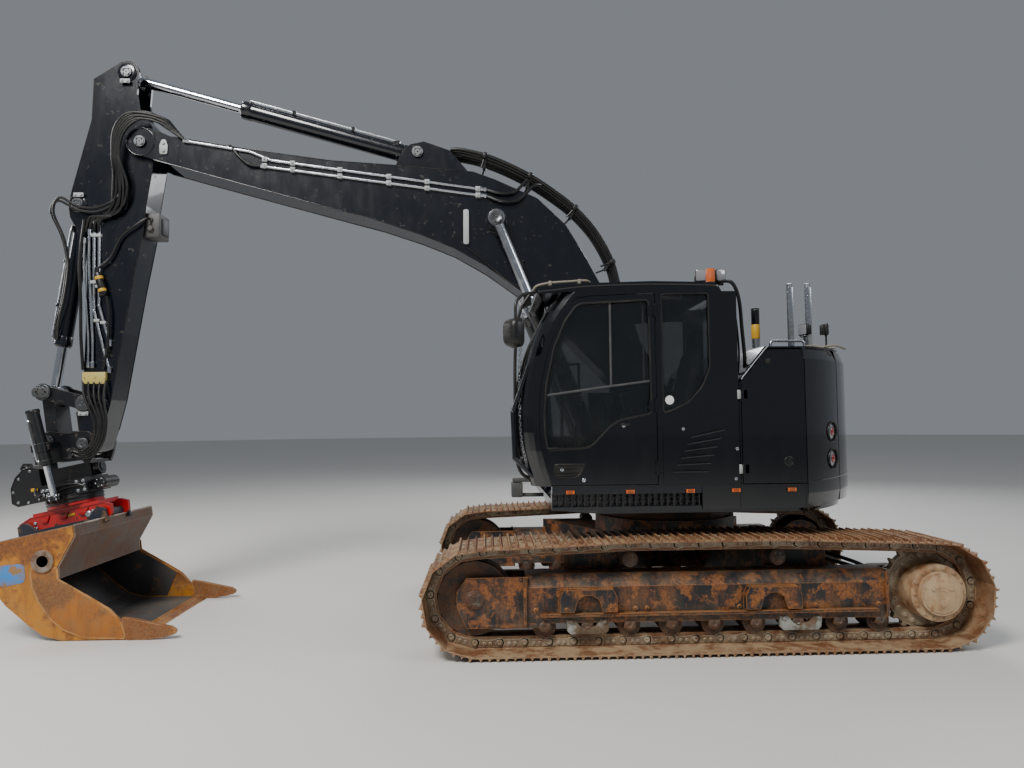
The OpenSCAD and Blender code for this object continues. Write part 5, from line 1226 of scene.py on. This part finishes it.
def boomDetails():
    v = boomLook
    h = v["half"]
    beads = []
    for s in (1, -1):
        for line in (v["under"][1:], v["over"][:-1]):
            beads.append(bead(line, s * (h - v["shift"]), 6))
        for at, r in (("boomFoot", 163), ("liftEye", 98), ("armFoot", 131)):
            beads.append(rimRun(roundRect(2 * r, 2 * r, r - 1, 12, pins[at]), h + 1, 6, side=s))
    boomPiece("boom_weld_beads", beads, "boomEnamel", angle=60)
    caps = []
    for s in (1, -1):
        for at, y, r in (("armFoot", h + 14, 46), ("boomFoot", h + 45, 50), ("crowdFoot", 178, 46)):
            caps += pinCap(*pins[at], y, r, s)
    boomPiece("boom_pin_caps", caps, "pinSteel")
    rodCaps = [part for s in (1, -1) for part in pinCap(*pins["liftEye"], 400, 62, s, 6)]
    boomPiece("boom_rod_pin_caps", rodCaps, "pinSteel")
    # hoses that lie over the boom's back, in pale clamps
    hoses = []
    for i, (y, r) in enumerate(zip(v["bundleY"], v["bundleR"])):
        lift = 10 * math.sin(i * 2.1)
        run = [(x - lift * 0.6, y + 8 * math.sin(k * 0.9 + i), z + lift)
               for k, (x, z) in enumerate(v["bundle"])]
        hoses.append(cable(run, r, 70, 9))
    boomPiece("boom_back_hoses", hoses, "rubber")
    saddles = []
    for k in (2, 4, 6, 8):
        x, z = v["bundle"][k]
        a, b = np.array(v["bundle"][k - 1], float), np.array(v["bundle"][k + 1], float)
        t = unit(b - a)
        saddles.append(slab(roundRect(370, 64, 22, 4), (x - t[0] * 18, 0, z - t[1] * 18), (0, 1, 0),
                            (-t[1], 0, t[0]), 36, 4))
        foot = np.array([x, z]) - np.array([-t[1], t[0]]) * 120
        saddles += [rod((foot[0], s * 150, foot[1]), (x, s * 150, z), 9) for s in (1, -1)]
    boomPiece("boom_back_saddles", saddles, "darkPlastic", slot="pipe_steel")
    keeper = [plate(smoothLoop([(4668, 4320), (4736, 4320), (4742, 4400), (4720, 4462), (4684, 4462),
                                (4662, 4400)], 16), h + 2, h + 14, 2)]
    keeper.append(bolts([(4702, h + 14, 4352), (4702, h + 14, 4424)], (0, 1, 0), 24, 12))
    boomPiece("boom_keeper_plate", keeper, "whiteClamp", slot="pin_steel")
    # pale clamps on the two side pipes, a fitting on the nose of each pipe
    clamps = []
    for x in (1760, 2240, 2600, 3058, 3500, 3760):
        z = 3958 + (x - 1720) * 0.138
        for dz in (-31, 31):
            clamps.append(block((x - 24, h + 1, z + dz - 22), (x + 24, h + 34, z + dz + 22), 5))
        clamps.append(bolts([(x, h + 34, z - 31), (x, h + 34, z + 31)], (0, 1, 0), 13, 8))
    boomPiece("boom_pipe_clamps", clamps, "whiteClamp")
    nut = [(17, -22), (21, -18), (21, 0), (17, 4), (17, 12), (21, 16), (21, 30), (15, 34)]
    fittings = [lathe(nut, 6, (x, h + 15, z), (1, 0, 0.14))
                for x, z in ((1700, 3990), (1700, 3930), (4486, 4444), (3766, 4203))]
    boomPiece("boom_pipe_fittings", fittings, "zinc")
    feeders = [cable([(1684, h + 15, 3988), (1560, h + 34, 3950), (1420, h + 20, 3960), (1300, 160, 4090),
                      (1240, 130, 4130)], 15, 30),
               cable([(1684, h + 15, 3928), (1540, h + 40, 3870), (1380, h + 26, 3880), (1230, 168, 4040),
                      (1150, 130, 4066)], 15, 30),
               cable([(3784, h + 15, 4206), (3900, h + 30, 4220), (4000, h + 34, 4300), (4080, h + 6, 4398),
                      (4140, 140, 4420)], 13, 30),
               cable([(1874, h + 8, 3440), (1700, h + 12, 3300), (1500, h + 8, 3130), (1380, h + 4, 3060)],
                     7, 30, 8)]
    boomPiece("boom_side_hoses", feeders, "rubber")
    # pale grab plate on its two feet, a lamp on each side of the boom
    grab = [plate(smoothLoop([(1848, 3462), (1900, 3462), (1900, 3796), (1848, 3796)], 20),
                  h + 22, h + 30, 2)]
    grab += [block((1860, h + 1, z - 12), (1888, h + 24, z + 12), 4) for z in (3490, 3768)]
    boomPiece("boom_grab_plate", grab, "whiteClamp", slot="frame_paint")
    for s, side in ((1, "left"), (-1, "right")):
        lens, shell = lampParts((1404, s * 262, 3230), (1, 0.1 * s, -0.3), 96)
        bracket = sweep([(1330, s * 202, 3300), (1340, s * 240, 3300), (1380, s * 262, 3270)], 9, 8)
        boomPiece("boom_lamp_shell_" + side, [shell, bracket], "darkPlastic")
        boomPiece("boom_lamp_lens_" + side, [lens], "clearLens")


boomDetails()

# cylinders: gland, port blocks and the steel line along the barrel
rams = {  # foot and eye, places across, outer and rod radius, length of the barrel, start of its tube
    "lift_barrels": ((700, 1470), pins["liftEye"], (345, -345), 74, 46, 1480, 138),
    "crowd_barrel": (pins["crowdFoot"], pins["crowdEye"], (0,), 82, 48, 1760, 144),
    "curl_barrel": (pins["curlFoot"], pins["curlEye"], (0,), 72, 42, 1340, 134),
}


def ramDetails():
    for body, (a, b, ys, r, rodR, length, start) in rams.items():
        t = unit(np.array(b, float) - a)
        axis, n = np.array([t[0], 0, t[1]]), np.array([-t[1], 0, t[0]])
        steel, paint = [], []
        for y in ys:
            foot = np.array([a[0], y, a[1]], float)
            head = foot + axis * length
            gland = [(rodR + 1, 0.5), (rodR + 10, 1), (r - 12, 7), (r - 6, 7), (r - 2, 2), (r + 4, -6),
                     (r + 4, -88), (r + 0.5, -94)]
            paint.append(lathe(gland, 48, head, axis))
            collar = [(r + 0.5, start + 20), (r + 6, start + 26), (r + 6, start + 60), (r + 0.5, start + 66)]
            paint.append(lathe(collar, 48, foot, axis))
            ring = evenAngles(8)[:, None]
            places = head + axis * 6 + (n * np.cos(ring) + np.array([0, 1, 0]) * np.sin(ring)) * (r - 9)
            steel.append(bolts(places, axis, 13, 6))
            off = unit(n * 0.8 + np.array([0, 0.6 if y >= 0 else -0.6, 0]))
            near, far = foot + axis * (start + 90) + off * (r + 22), head - axis * 60 + off * (r + 22)
            line = [near - off * 24, near, near + axis * 40, (near + far) / 2, far - axis * 30, far,
                    far - off * 24]
            steel.append(sweep(bent(line, 26), 11, 10, hint=np.cross(axis, off)))
            for f in (0.3, 0.7):
                at = near + (far - near) * f
                paint.append(slab(roundRect(34, 40, 6, 3), at - axis * 16, np.cross(off, axis), off, 32, 3))
            at = foot + axis * (start + 62) + off * (r + 4)
            paint.append(slab(roundRect(60, 46, 8, 3), at, np.cross(off, axis), off, 60, 4))
        makePiece(body + "_head_and_clamps", paint, "boomEnamel", body)
        makePiece(body + "_line", steel, "zinc", body)


ramDetails()

armPiece = partial(makePiece, body="arm_frame")

armLook = {
    "half": 150,
    "front": [(5385, 5070), (5397, 4670), (5562, 4009), (5592, 3860), (5575, 3740), (5500, 3600),
              (5410, 3400), (5403, 2952), (5411, 2486), (5419, 2024), (5440, 1760)],
    "back": [(5235, 1743), (5166, 2022), (5078, 2573), (5000, 3061), (4911, 3554), (4880, 3849),
             (4822, 4250)],
    "keepers": [(5084, 5038), (5489, 3942), (5400, 1900)],
}


def armDetails():
    v = armLook
    h = v["half"]
    beads = []
    for s in (1, -1):
        for line in (v["front"], v["back"]):
            beads.append(bead(line, s * (h - 2), 5))
        for at, r in (("curlFoot", 86), ("guideFoot", 78), ("crowdEye", 88)):
            beads.append(across([(r, 0), (r, 8), (r - 5, 13), (50, 13), (48, 8)], h, *pins[at], s, 40))
    armPiece("arm_weld_beads_and_bosses", beads, "boomEnamel", angle=60)
    caps = []
    for s in (1, -1):
        for at, out, r in (("crowdEye", 20, 44), ("curlFoot", 14, 44), ("guideFoot", 50, 44),
                           ("hitch", 58, 46)):
            caps += pinCap(*pins[at], h + out, r, s)
    armPiece("arm_pin_caps", caps, "pinSteel")
    # pale clamps, banded filter, grey valve box on the arm's back, keeper plates by the pins
    y = h + 16
    clamps = [block((5200, h + 1, 2170), (5410, h + 46, 2280), 8),
              bolts([(5200, h + 46, 2230), (5290, h + 46, 2230), (5390, h + 46, 2230)], (0, 1, 0), 13, 8)]
    armPiece("arm_pipe_block", clamps, "blockYellow")
    pale = [block((x - 26, h + 1, z - 14), (x + 26, h + 34, z + 14), 4)
            for x, z in ((5344, 3560), (5298, 3560), (5338, 3120), (5290, 3080), (5300, 2760), (5240, 2740))]
    armPiece("arm_pipe_clamps", pale, "whiteClamp")
    filterAt = (5228, h + 44, 2985), (0.28, 0, 1)
    body = [lathe([(22, 0), (30, 6), (34, 16), (34, 214), (28, 226), (14, 230)], 28, *filterAt),
            lathe([(15, 226), (15, 262)], 6, *filterAt)]
    armPiece("arm_filter", body, "darkPlastic")
    bands = [lathe([(34.6, z0), (35.2, z0 + 2), (35.2, z0 + 26), (34.6, z0 + 28)], 28, *filterAt)
             for z0 in (40, 160)]
    armPiece("arm_filter_bands", bands, "yellowTag")
    box = [block((4770, -100, 3560), (4930, 110, 3790), 12, 10),
           block((4752, -60, 3600), (4772, 60, 3750), 6),
           lathe([(26, 0), (26, 20), (20, 26), (8, 27)], 24, (4850, 112, 3640), (0, 1, 0)),
           lathe([(20, 0), (20, 16), (14, 20), (5, 20)], 6, (4850, 112, 3730), (0, 1, 0))]
    armPiece("arm_valve_box", box, "greyPlastic")
    hoses = []
    for dx, r in ((0, 13), (42, 12), (84, 12), (120, 11)):
        run = [(5170 + dx, y + 30, 3736), (5240 + dx, y + 34, 3728), (5290 + dx * 0.9, y + 16, 3680),
               (5300 + dx, y + 6, 3590)]
        hoses.append(cable(run, r, 24))
    keepers = []
    for x, z in v["keepers"]:
        keepers.append(block((x - 46, h + 22, z - 20), (x + 46, h + 34, z + 20), 3))
        keepers.append(bolts([(x - 26, h + 34, z), (x + 26, h + 34, z)], (0, 1, 0), 19, 9))
    armPiece("arm_keeper_plates", keepers, "whiteClamp", slot="pin_steel")
    hoses.append(cable([(5430, h + 30, 3700), (5460, h + 40, 3300), (5440, h + 42, 2950),
                        (5430, h + 40, 2600), (5410, h + 30, 2300)], 14, 50))
    hoses.append(cable([(4850, 112, 3730), (4870, h + 16, 3720), (4960, h + 38, 3650), (5090, h + 32, 3540),
                        (5180, h + 34, 3350), (5296, h + 44, 3240)], 12, 40))
    hoses.append(cable([(5205, h + 44, 2985), (5180, h + 44, 2800), (5190, h + 36, 2520),
                        (5230, h + 30, 2300)], 12, 40))
    armPiece("arm_hoses", hoses, "rubber")
    # steel tube pairs down the left face, silver with a crimp at each end
    tubes = []
    for x0, x1, z0, z1, r in ((5385, 5330, 3560, 2320, 12), (5428, 5370, 3480, 2320, 10)):
        tubes.append(cable([(x0, y + 4, z0), (x0 - 6, y + 4, z0 - 300), (x1 + 6, y + 4, z1 + 300),
                            (x1, y + 4, z1)], r, 24))
        tubes += [lathe([(r + 3, 0), (r + 7, 4), (r + 7, 54), (r + 3, 58)], 12, (x, y + 4, z), (0, 0, 1))
                  for x, z in ((x0, z0), (x1, z1))]
    for x, z in ((5345, 3700), (5300, 3700), (5180, 2300), (5180, 2550)):
        tubes.append(lathe([(17, -30), (21, -26), (21, 26), (17, 30)], 12, (x, y, z), (0, 0, 1)))
    armPiece("arm_tubes", tubes, "zinc")


armDetails()

# hoses over the joints between two bodies, left in place unbent: the bodies, start and end of the bend in
# metres, runs, radius
loops = {
    "boom_foot_hoses": (("upper_structure", "boom_frame"), (0.15, 0.0, 1.85), (0.30, 0.0, 2.60),
                        [[(-60, y, 1150), (-130, y, 1500), (-90, y, 1900), (60, y, 2220),
                          (250, y * 0.98, 2560)] for y in boomLook["bundleY"]], 16),
    "boom_to_arm_hoses": (("boom_frame", "arm_frame"), (4.70, 0.2, 4.60), (5.08, 0.2, 4.20),
                          [[(4496 + i * 22, 218, 4446 + i * 26), (4660, 232 + i * 5, 4560 + i * 14),
                            (4813 + i * 6, 248 + i * 6, 4648 + i * 12 - (i % 2) * 26),
                            (4960 + i * 12, 256 + i * 6, 4610 + i * 12),
                            (5064 + i * 13, 252 + i * 5, 4480 + i * 8), (5092 + i * 11, 240 + i * 4, 4290),
                            (5026 + i * 18 + (i % 3) * 16, 224, 4040 + i * 14),
                            (5060 + i * 24, 204, 3850 - (i % 2) * 40), (5200 + i * 22, 186, 3730 - i * 6)]
                           for i in range(6)], 13),
    "curl_barrel_hoses": (("arm_frame", "curl_barrel"), (5.48, 0.2, 3.82), (5.62, 0.15, 3.30),
                          [[(5096, 172, 3990), (5160, 200, 3850), (5310, 204, 3776), (5480, 212, 3792),
                            (5660, 194, 3880), (5742, 170, 3790), (5646, 160, 3560), (5604, 140, 3330),
                            (5622, 150, 3000), (5700, 108, 2760), (5738, 62, 2610)],
                           [(5074, 172, 4030), (5150, 208, 3886), (5316, 210, 3812), (5480, 216, 3826),
                            (5644, 206, 3908), (5712, 186, 3780), (5616, 180, 3540), (5574, 166, 3300),
                            (5590, 180, 3000), (5664, 140, 2760), (5702, 88, 2600)]], 12),
    "arm_to_hitch_hoses": (("arm_frame", "hitch_frame"), (5.30, 0.2, 2.2), (5.45, 0.2, 1.55),
                           [[(5200 + i * 52, 182, 2200), (5196 + i * 40, 222 + i * 5, 2040),
                             (5156 + i * 26 - (i % 2) * 10, 246 + i * 4, 1830),
                             (5172 + i * 24, 262 - i * 3, 1640 + i * 6),
                             (5262 + i * 20, 260 - i * 4, 1508 + i * 15),
                             (5370 + i * 8, 240 - i * 3, 1484 + i * 18),
                             (5450 + i * 3.7, 212 + (i % 2) * 18, 1505 + i * 17.6)] for i in range(5)], 11.5),
}


def jointHoses():
    for name, (bodies, start, end, runs, r) in loops.items():
        makePiece(name, [cable(run, r, 48) for run in runs], "rubber", (*bodies, start, end))


jointHoses()
print("boom and arm dressed")


# hitch, tilting and turning housing, coupler and bucket

tool = {"pitch": 12.0, "turnU": 270, "tiltN": 225}


def toolPiece(name, parts, material, body, slot=None, angle=35):
    # a piece given in (u, y, n) of the tool: u runs forwards along the hitch, n down and square to it
    a = math.radians(tool["pitch"])
    m = np.array([[math.cos(a), 0, -math.sin(a)], [0, 1, 0], [-math.sin(a), 0, -math.cos(a)]])
    x, z = pins["hitch"]
    makePiece(name, [(points @ m.T + (x, 0, z), faces) for points, faces in parts], material, body, slot,
              angle)


def linkageDetails():
    caps, rims = [], []
    for s in (1, -1):
        caps += pinCap(*pins["tieFoot"], 200, 42, s)
        rims += pinCap(*pins["curlEye"], 204, 42, s)
        for at in ("curlEye", "guideFoot"):
            rims.append(across([(70, 0), (70, 5), (66, 8), (52, 8)], 190, *pins[at], s, 40))
    makePiece("hitch_pin_caps", caps, "pinSteel", "hitch_frame")
    makePiece("guide_pin_caps", rims, "pinSteel", "guide_pair")
    ear = [plate(smoothLoop([(5698, 2052), (5830, 2052), (5846, 2098), (5830, 2140), (5698, 2140),
                             (5684, 2098)], 20), 216, 226, 2)]
    ear += [across([(15, 0), (15, 3), (9, 3), (8, -1)], 226, x, 2098, 1, 20) for x in (5801, 5721)]
    makePiece("guide_ear_plate", ear, "greyPlastic", "guide_pair", "pin_steel")
    hitch = []
    for s in (1, -1):
        line = [(-95, -60), (-60, -100), (0, -112), (120, -118), (260, -168), (340, -172), (390, -120),
                (396, -40), (455, 40)]
        hitch.append(bead(line, s * 193, 5))
        hitch.append(bead([(440, 98), (300, 98), (150, 98)], s * 193, 5))
    toolPiece("hitch_welds", hitch, "hitchPaint", "hitch_frame", angle=60)
    # the block that takes the ends of the hoses from the arm
    taps = [block((92, 190, 18), (150, 248, 114), 6)]
    taps += [lathe([(15, -16), (15, 4)], 6, (92, 212 + (i % 2) * 18, 102 - i * 18), (1, 0, 0))
             for i in range(5)]
    toolPiece("hitch_hose_block", taps, "hitchPaint", "hitch_frame")


linkageDetails()


def housingAndTilt():
    u0 = tool["turnU"]
    iron, steel, rubber = [], [], []
    steel.append(bolts(ringOf(20, 218, u0, 502), (0, 0, -1), 19, 12))
    for profile in ([(236, 448), (243, 452), (243, 470), (236, 474)],
                    [(236, 486), (240, 489), (240, 497), (236, 499)]):
        iron.append(lathe(profile, 64, (u0, 0, 0)))
    for s in (1, -1):
        near, far = sorted((s * 201, s * 235))
        iron.append(block((300, near, 330), (430, far, 410), 6))
        for u, n in ((320, 350), (360, 350), (400, 350), (320, 390), (360, 390), (400, 390)):
            steel.append(lathe([(13, 0), (15, 4), (15, 16), (11, 18), (11, 30), (7, 32)], 6, (u, s * 235, n),
                               (0, s, 0)))
        steel.append(bolts([(60, s * 200, n) for n in (330, 370, 410)]
                           + [(120, s * 200, n) for n in (330, 410)], (0, s, 0), 24, 12))
        rim = ((500, 410), (600, 420), (690, 400), (720, 300), (650, 190), (540, 140))
        steel.append(bolts([(u, s * 150, n) for u, n in rim], (0, s, 0), 19, 10))
        iron.append(bead(((466, 140), (520, 103), (600, 115), (678, 174), (732, 264), (744, 398)),
                         s * 151, 5))
        iron.append(lathe([(50, 0), (50, 10), (44, 16), (26, 16), (24, 10), (6, 10)], 32,
                          (-45, s * 118, 378), (0, s, 0)))
        steel.append(bolts(circleOf(6, 38, -45, 378, s * 134), (0, s, 0), 10, 6))
        rubber.append(cable([(320, s * 262, 350), (310, s * 272, 346), (292, s * 244, 340),
                             (250, s * 222, 334), (180, s * 213, 336), (110, s * 212, 350),
                             (60, s * 214, 378)], 10, 40))
        rubber.append(cable([(400, s * 262, 390), (424, s * 282, 388), (456, s * 272, 376),
                             (474, s * 236, 350), (480, s * 214, 316), (478, s * 205, 296)], 10, 32))
        rubber.append(cable([(320, s * 262, 390), (308, s * 274, 388), (290, s * 242, 384),
                             (260, s * 216, 374), (180, s * 212, 364), (100, s * 212, 368),
                             (44, s * 206, 372)], 9, 40))
    iron.append(lathe([(46, 0), (46, 8), (38, 14), (10, 14)], 36, (500, 0, tool["tiltN"]), (1, 0, 0)))
    toolPiece("housing_ribs_and_blocks", iron, "hitchPaint", "swivel_housing", angle=50)
    toolPiece("housing_bolts", steel, "zinc", "swivel_housing")
    toolPiece("housing_hoses", rubber, "rubber", "swivel_housing", "dark_plastic")
    tags = [block((500, s * 150 - 4, 300), (560, s * 150 + 4, 330), 2) for s in (1, -1)]
    toolPiece("housing_end_caps", tags, "yellowTag", "swivel_housing")
    for s, side in ((1, "l"), (-1, "r")):
        along = unit(np.array([0, -50.0 * s, 470.0]))
        foot = np.array([u0, 360.0 * s, -30.0])
        ring = [lathe([(29, 0.8), (36, 1), (44, 4), (50, -4), (56, -12), (56, -46), (52.5, -50)], 36,
                      foot + along * 165, along),
                lathe([(52.5, -312), (56, -316), (56, -334), (50, -345), (30, -347), (10, -347)], 36,
                      foot, along),
                lathe([(52.5, -40), (58, -36), (58, 36), (52.5, 40)], 36, foot, along)]
        out = np.array([0.35, 0.94 * s, 0.0])
        line = [foot + along * f + out * away
                for f, away in ((120, 50), (120, 76), (-60, 76), (-240, 76), (-240, 50))]
        pipe = [sweep(bent(line, 20), 9, 10, hint=np.cross(along, out))]
        pipe += [lathe([(14, 0), (14, 20), (10, 24)], 6, foot + along * f + out * 50, out)
                 for f in (120, -240)]
        toolPiece("tilt_barrel_rings_" + side, ring, "hitchPaint", "tilt_barrel_" + side)
        toolPiece("tilt_barrel_line_" + side, pipe, "zinc", "tilt_barrel_" + side)
        eye = foot + along * math.hypot(50, 470)
        cap = [lathe([(41.5, -26), (44, -22), (44, 22), (41.5, 26)], 36, eye, (1, 0, 0))]
        toolPiece("tilt_rod_collar_" + side, cap, "hitchPaint", "tilt_rod_" + side)


housingAndTilt()


def couplerDetails():
    u0 = tool["turnU"]
    red = [lathe([(231, 508), (236, 512), (236, 526), (231, 530)], 64, (u0, 0, 0))]
    steel = [bolts(ringOf(16, 150, u0, 577), (0, 0, 1), 24, 12)]
    for s in (1, -1):
        red.append(bead([(-124, 598), (-58, 564), (598, 564), (697, 604)], s * 176, 5))
        red += [plate([(u - 50, 578), (u + 50, 578), (u + 18, 638), (u - 18, 638)],
                      *sorted((s * 176, s * 190)), 2) for u in (120, 300, 470)]
        steel.append(bolts([(40, s * 176, 620), (40, s * 176, 665), (560, s * 176, 620), (560, s * 176, 665)],
                           (0, s, 0), 24, 12))
        steel.append(lathe([(30, 0), (30, 14), (22, 20), (6, 20)], 28, (78, s * 176, 640), (0, s, 0)))
    steel.append(sweep([(180, 0, 640), (260, 0, 640), (380, 0, 640), (520, 0, 640)], 34, 24, hint=(0, 1, 0)))
    steel.append(lathe([(20, 0), (20, 60)], 20, (520, 0, 640), (1, 0, 0)))
    toolPiece("coupler_ribs", red, "redEnamel", "work_tool", angle=50)
    toolPiece("coupler_bolts_and_lock", steel, "zinc", "work_tool", "pin_steel")
    tags = [block((200, s * 178 - 4, 600), (262, s * 178 + 4, 622), 2) for s in (1, -1)]
    toolPiece("coupler_tags", tags, "yellowTag", "work_tool", "red_paint")


couplerDetails()

bucketLook = {
    "cheek": [(5496, 604), (5500, 551), (5480, 440), (5430, 330), (5324, 180), (5224, 96), (5060, 26),
              (4716, 12), (4722, 60), (4752, 150), (4855, 262), (5016, 360), (5272, 508), (5284, 604)],
    "patch": [(5796, 622), (5700, 634), (5590, 640), (5546, 620), (5552, 580), (5536, 540), (5556, 486),
              (5640, 470), (5700, 448), (5736, 462), (5800, 452)],
    "liner": [(5176, 905), (5178, 862), (5304, 612), (5294, 500), (5016, 346), (4900, 270), (4990, 40),
              (5236, 40), (5374, 80), (5474, 158), (5662, 318), (5818, 500), (5926, 650), (5970, 742)],
    "spill": [(5176, 948), (5163, 862), (5292, 612), (5284, 508)], "half": 700,
}


def bucketDetails():
    v = bucketLook
    cheeks, liners, rings = [], [], []
    for s in (1, -1):
        cheeks.append(plate(v["cheek"], *sorted((s * 725, s * 733)), 3))
        cheeks.append(rimRun(smoothLoop(v["cheek"], 12), 727, 7, 6, side=s))
        rings.append(across([(92, 16), (90, 22), (76, 24), (58, 22), (47, 16)], 725, 5400, 660, s, 48))
        liners.append(plate(v["liner"], *sorted((s * 698, s * 702.6)), 1))
    patch = plate(smoothLoop(v["patch"], 20), 725.2, 727, 0.5)
    makePiece("bucket_cheek_plates", cheeks, "cheekPlate", "work_tool", angle=50)
    makePiece("bucket_ear_rings", rings, "earSteel", "work_tool")
    makePiece("bucket_side_liners", liners, "bucketNavy", "work_tool")
    makePiece("bucket_blue_patch", patch, "bluePaint", "work_tool")
    # worn cover of the spill plate: the section carried across, its rims beaded pale, partly rubbed steel and
    # partly a painted highlight of the lit edges
    line = np.array(v["spill"], float)
    t = unit(np.gradient(line, axis=0))
    n = np.stack([t[:, 1], -t[:, 0]], -1)
    y = np.linspace(-v["half"], v["half"], 24)
    section = np.vstack([line + n * 7, (line + n * 0.5)[::-1]])
    spill = gridPart(np.stack([np.insert(section, 1, yy, axis=1) for yy in y]))
    top = np.stack([np.full(24, line[0, 0] + n[0, 0] * 3), y, np.full(24, line[0, 1] + 2)], -1)
    # the pale rim colour is partly a painted highlight along the lit top edge
    rims = [sweep(top, 8 + 1.2 * np.sin(np.arange(24) * 2.3), 8, hint=(0, 0, 1))]
    rims += [bead(line + n * 4, s * v["half"], 6) for s in (1, -1)]
    makePiece("bucket_spill_cover", spill, "spillSteel", "work_tool")
    makePiece("bucket_rim_beads", rims, "paleRimHighlight", "work_tool")
    # welds of the hanger on the wrapper's back
    welds = [bead([(u, 736) for u in (-95, 100, 300, 500, 700)], y0, 9) for y0 in (-222, -190, 190, 222)]
    toolPiece("hanger_welds", welds, "bucketNavy", "work_tool", angle=60)


bucketDetails()
print("tool dressed")


# camera, floor and light

view = {"focal": 719.0, "wide": 1024, "sensor": 36.0, "yaw": -2.12, "pitch": 3.12, "roll": -0.54,
        "spot": (1.703, 6.933, 1.773)}


def placed(ob, x, y, z, spot):
    # object with its own axes x, y, z at a spot
    m = Matrix.Identity(4)
    for i in range(3):
        m[i][0], m[i][1], m[i][2], m[i][3] = x[i], y[i], z[i], spot[i]
    ob.matrix_world = m
    bpy.context.scene.collection.objects.link(ob)
    return ob


def placeCamera(v):
    # forward = (sin yaw cos pitch, -cos yaw cos pitch, sin pitch); right is level, the roll turns it and up
    y, p, r = (math.radians(v[k]) for k in ("yaw", "pitch", "roll"))
    f = np.array([math.sin(y) * math.cos(p), -math.cos(y) * math.cos(p), math.sin(p)])
    right = np.array([-math.cos(y), -math.sin(y), 0.0])
    up = np.cross(right, f)
    cam = bpy.data.cameras.new("photoCamera")
    cam.sensor_width = v["sensor"]
    cam.lens = v["focal"] / v["wide"] * v["sensor"]
    cam.clip_end = 200
    ob = bpy.data.objects.new("photoCamera", cam)
    placed(ob, right * math.cos(r) + up * math.sin(r), up * math.cos(r) - right * math.sin(r), -f, v["spot"])
    bpy.context.scene.camera = ob


placeCamera(view)

floorLook = {"radii": (0.02, 20.0, 40.0, 60.0, 90.0), "sides": 64, "colour": "#d6d4cf"}


def makeFloor():
    # flat disc: P(u, v) = (r(u) cos v, r(u) sin v, 0)
    a = evenAngles(floorLook["sides"])
    r = np.array(floorLook["radii"])[:, None]
    disc = np.stack([r * np.cos(a), r * np.sin(a), 0 * r * a], -1)
    points, faces = gridPart(disc, ends=False)
    me = bpy.data.meshes.new("studioFloor")
    me.from_pydata(points.tolist(), [], faces[0].tolist())
    ob = bpy.data.objects.new("studioFloor", me)
    bpy.context.scene.collection.objects.link(ob)
    mat, add, bsdf = startMaterial("pale_floor_paint")
    me.materials.append(closeMaterial(mat, add, bsdf, floorLook["colour"], 0.6))


makeFloor()

lights = [  # name, place, size, watts, colour
    ("keySoftbox", (7.0, 9.0, 12.0), 5.0, 2300, (1.0, 0.98, 0.95)),
    ("fillSoftbox", (-10.0, 7.0, 9.0), 5.0, 450, (0.92, 0.96, 1.0)),
    ("rearSoftbox", (-4.0, -11.0, 9.0), 8.0, 700, (0.95, 0.97, 1.0)),
    ("frontSoftbox", (13.0, -3.0, 7.0), 6.0, 500, (1.0, 0.98, 0.96)),
]


def makeLights():
    for name, place, size, watts, colour in lights:
        lamp = bpy.data.lights.new(name, "AREA")
        lamp.shape = "DISK"
        lamp.size, lamp.energy, lamp.color = size, watts, colour
        z = unit(np.array(place) - (1.5, 0.0, 1.8))
        x = unit(np.cross([0, 0, 1.0], z))
        placed(bpy.data.objects.new(name, lamp), x, np.cross(z, x), z, place)
    sky = bpy.data.worlds.new("studioSky")
    sky.use_nodes = True
    back = sky.node_tree.nodes["Background"]
    back.inputs["Color"].default_value = (0.80, 0.86, 0.95, 1)
    back.inputs["Strength"].default_value = 0.26
    bpy.context.scene.world = sky


makeLights()
print("camera, floor and light placed")
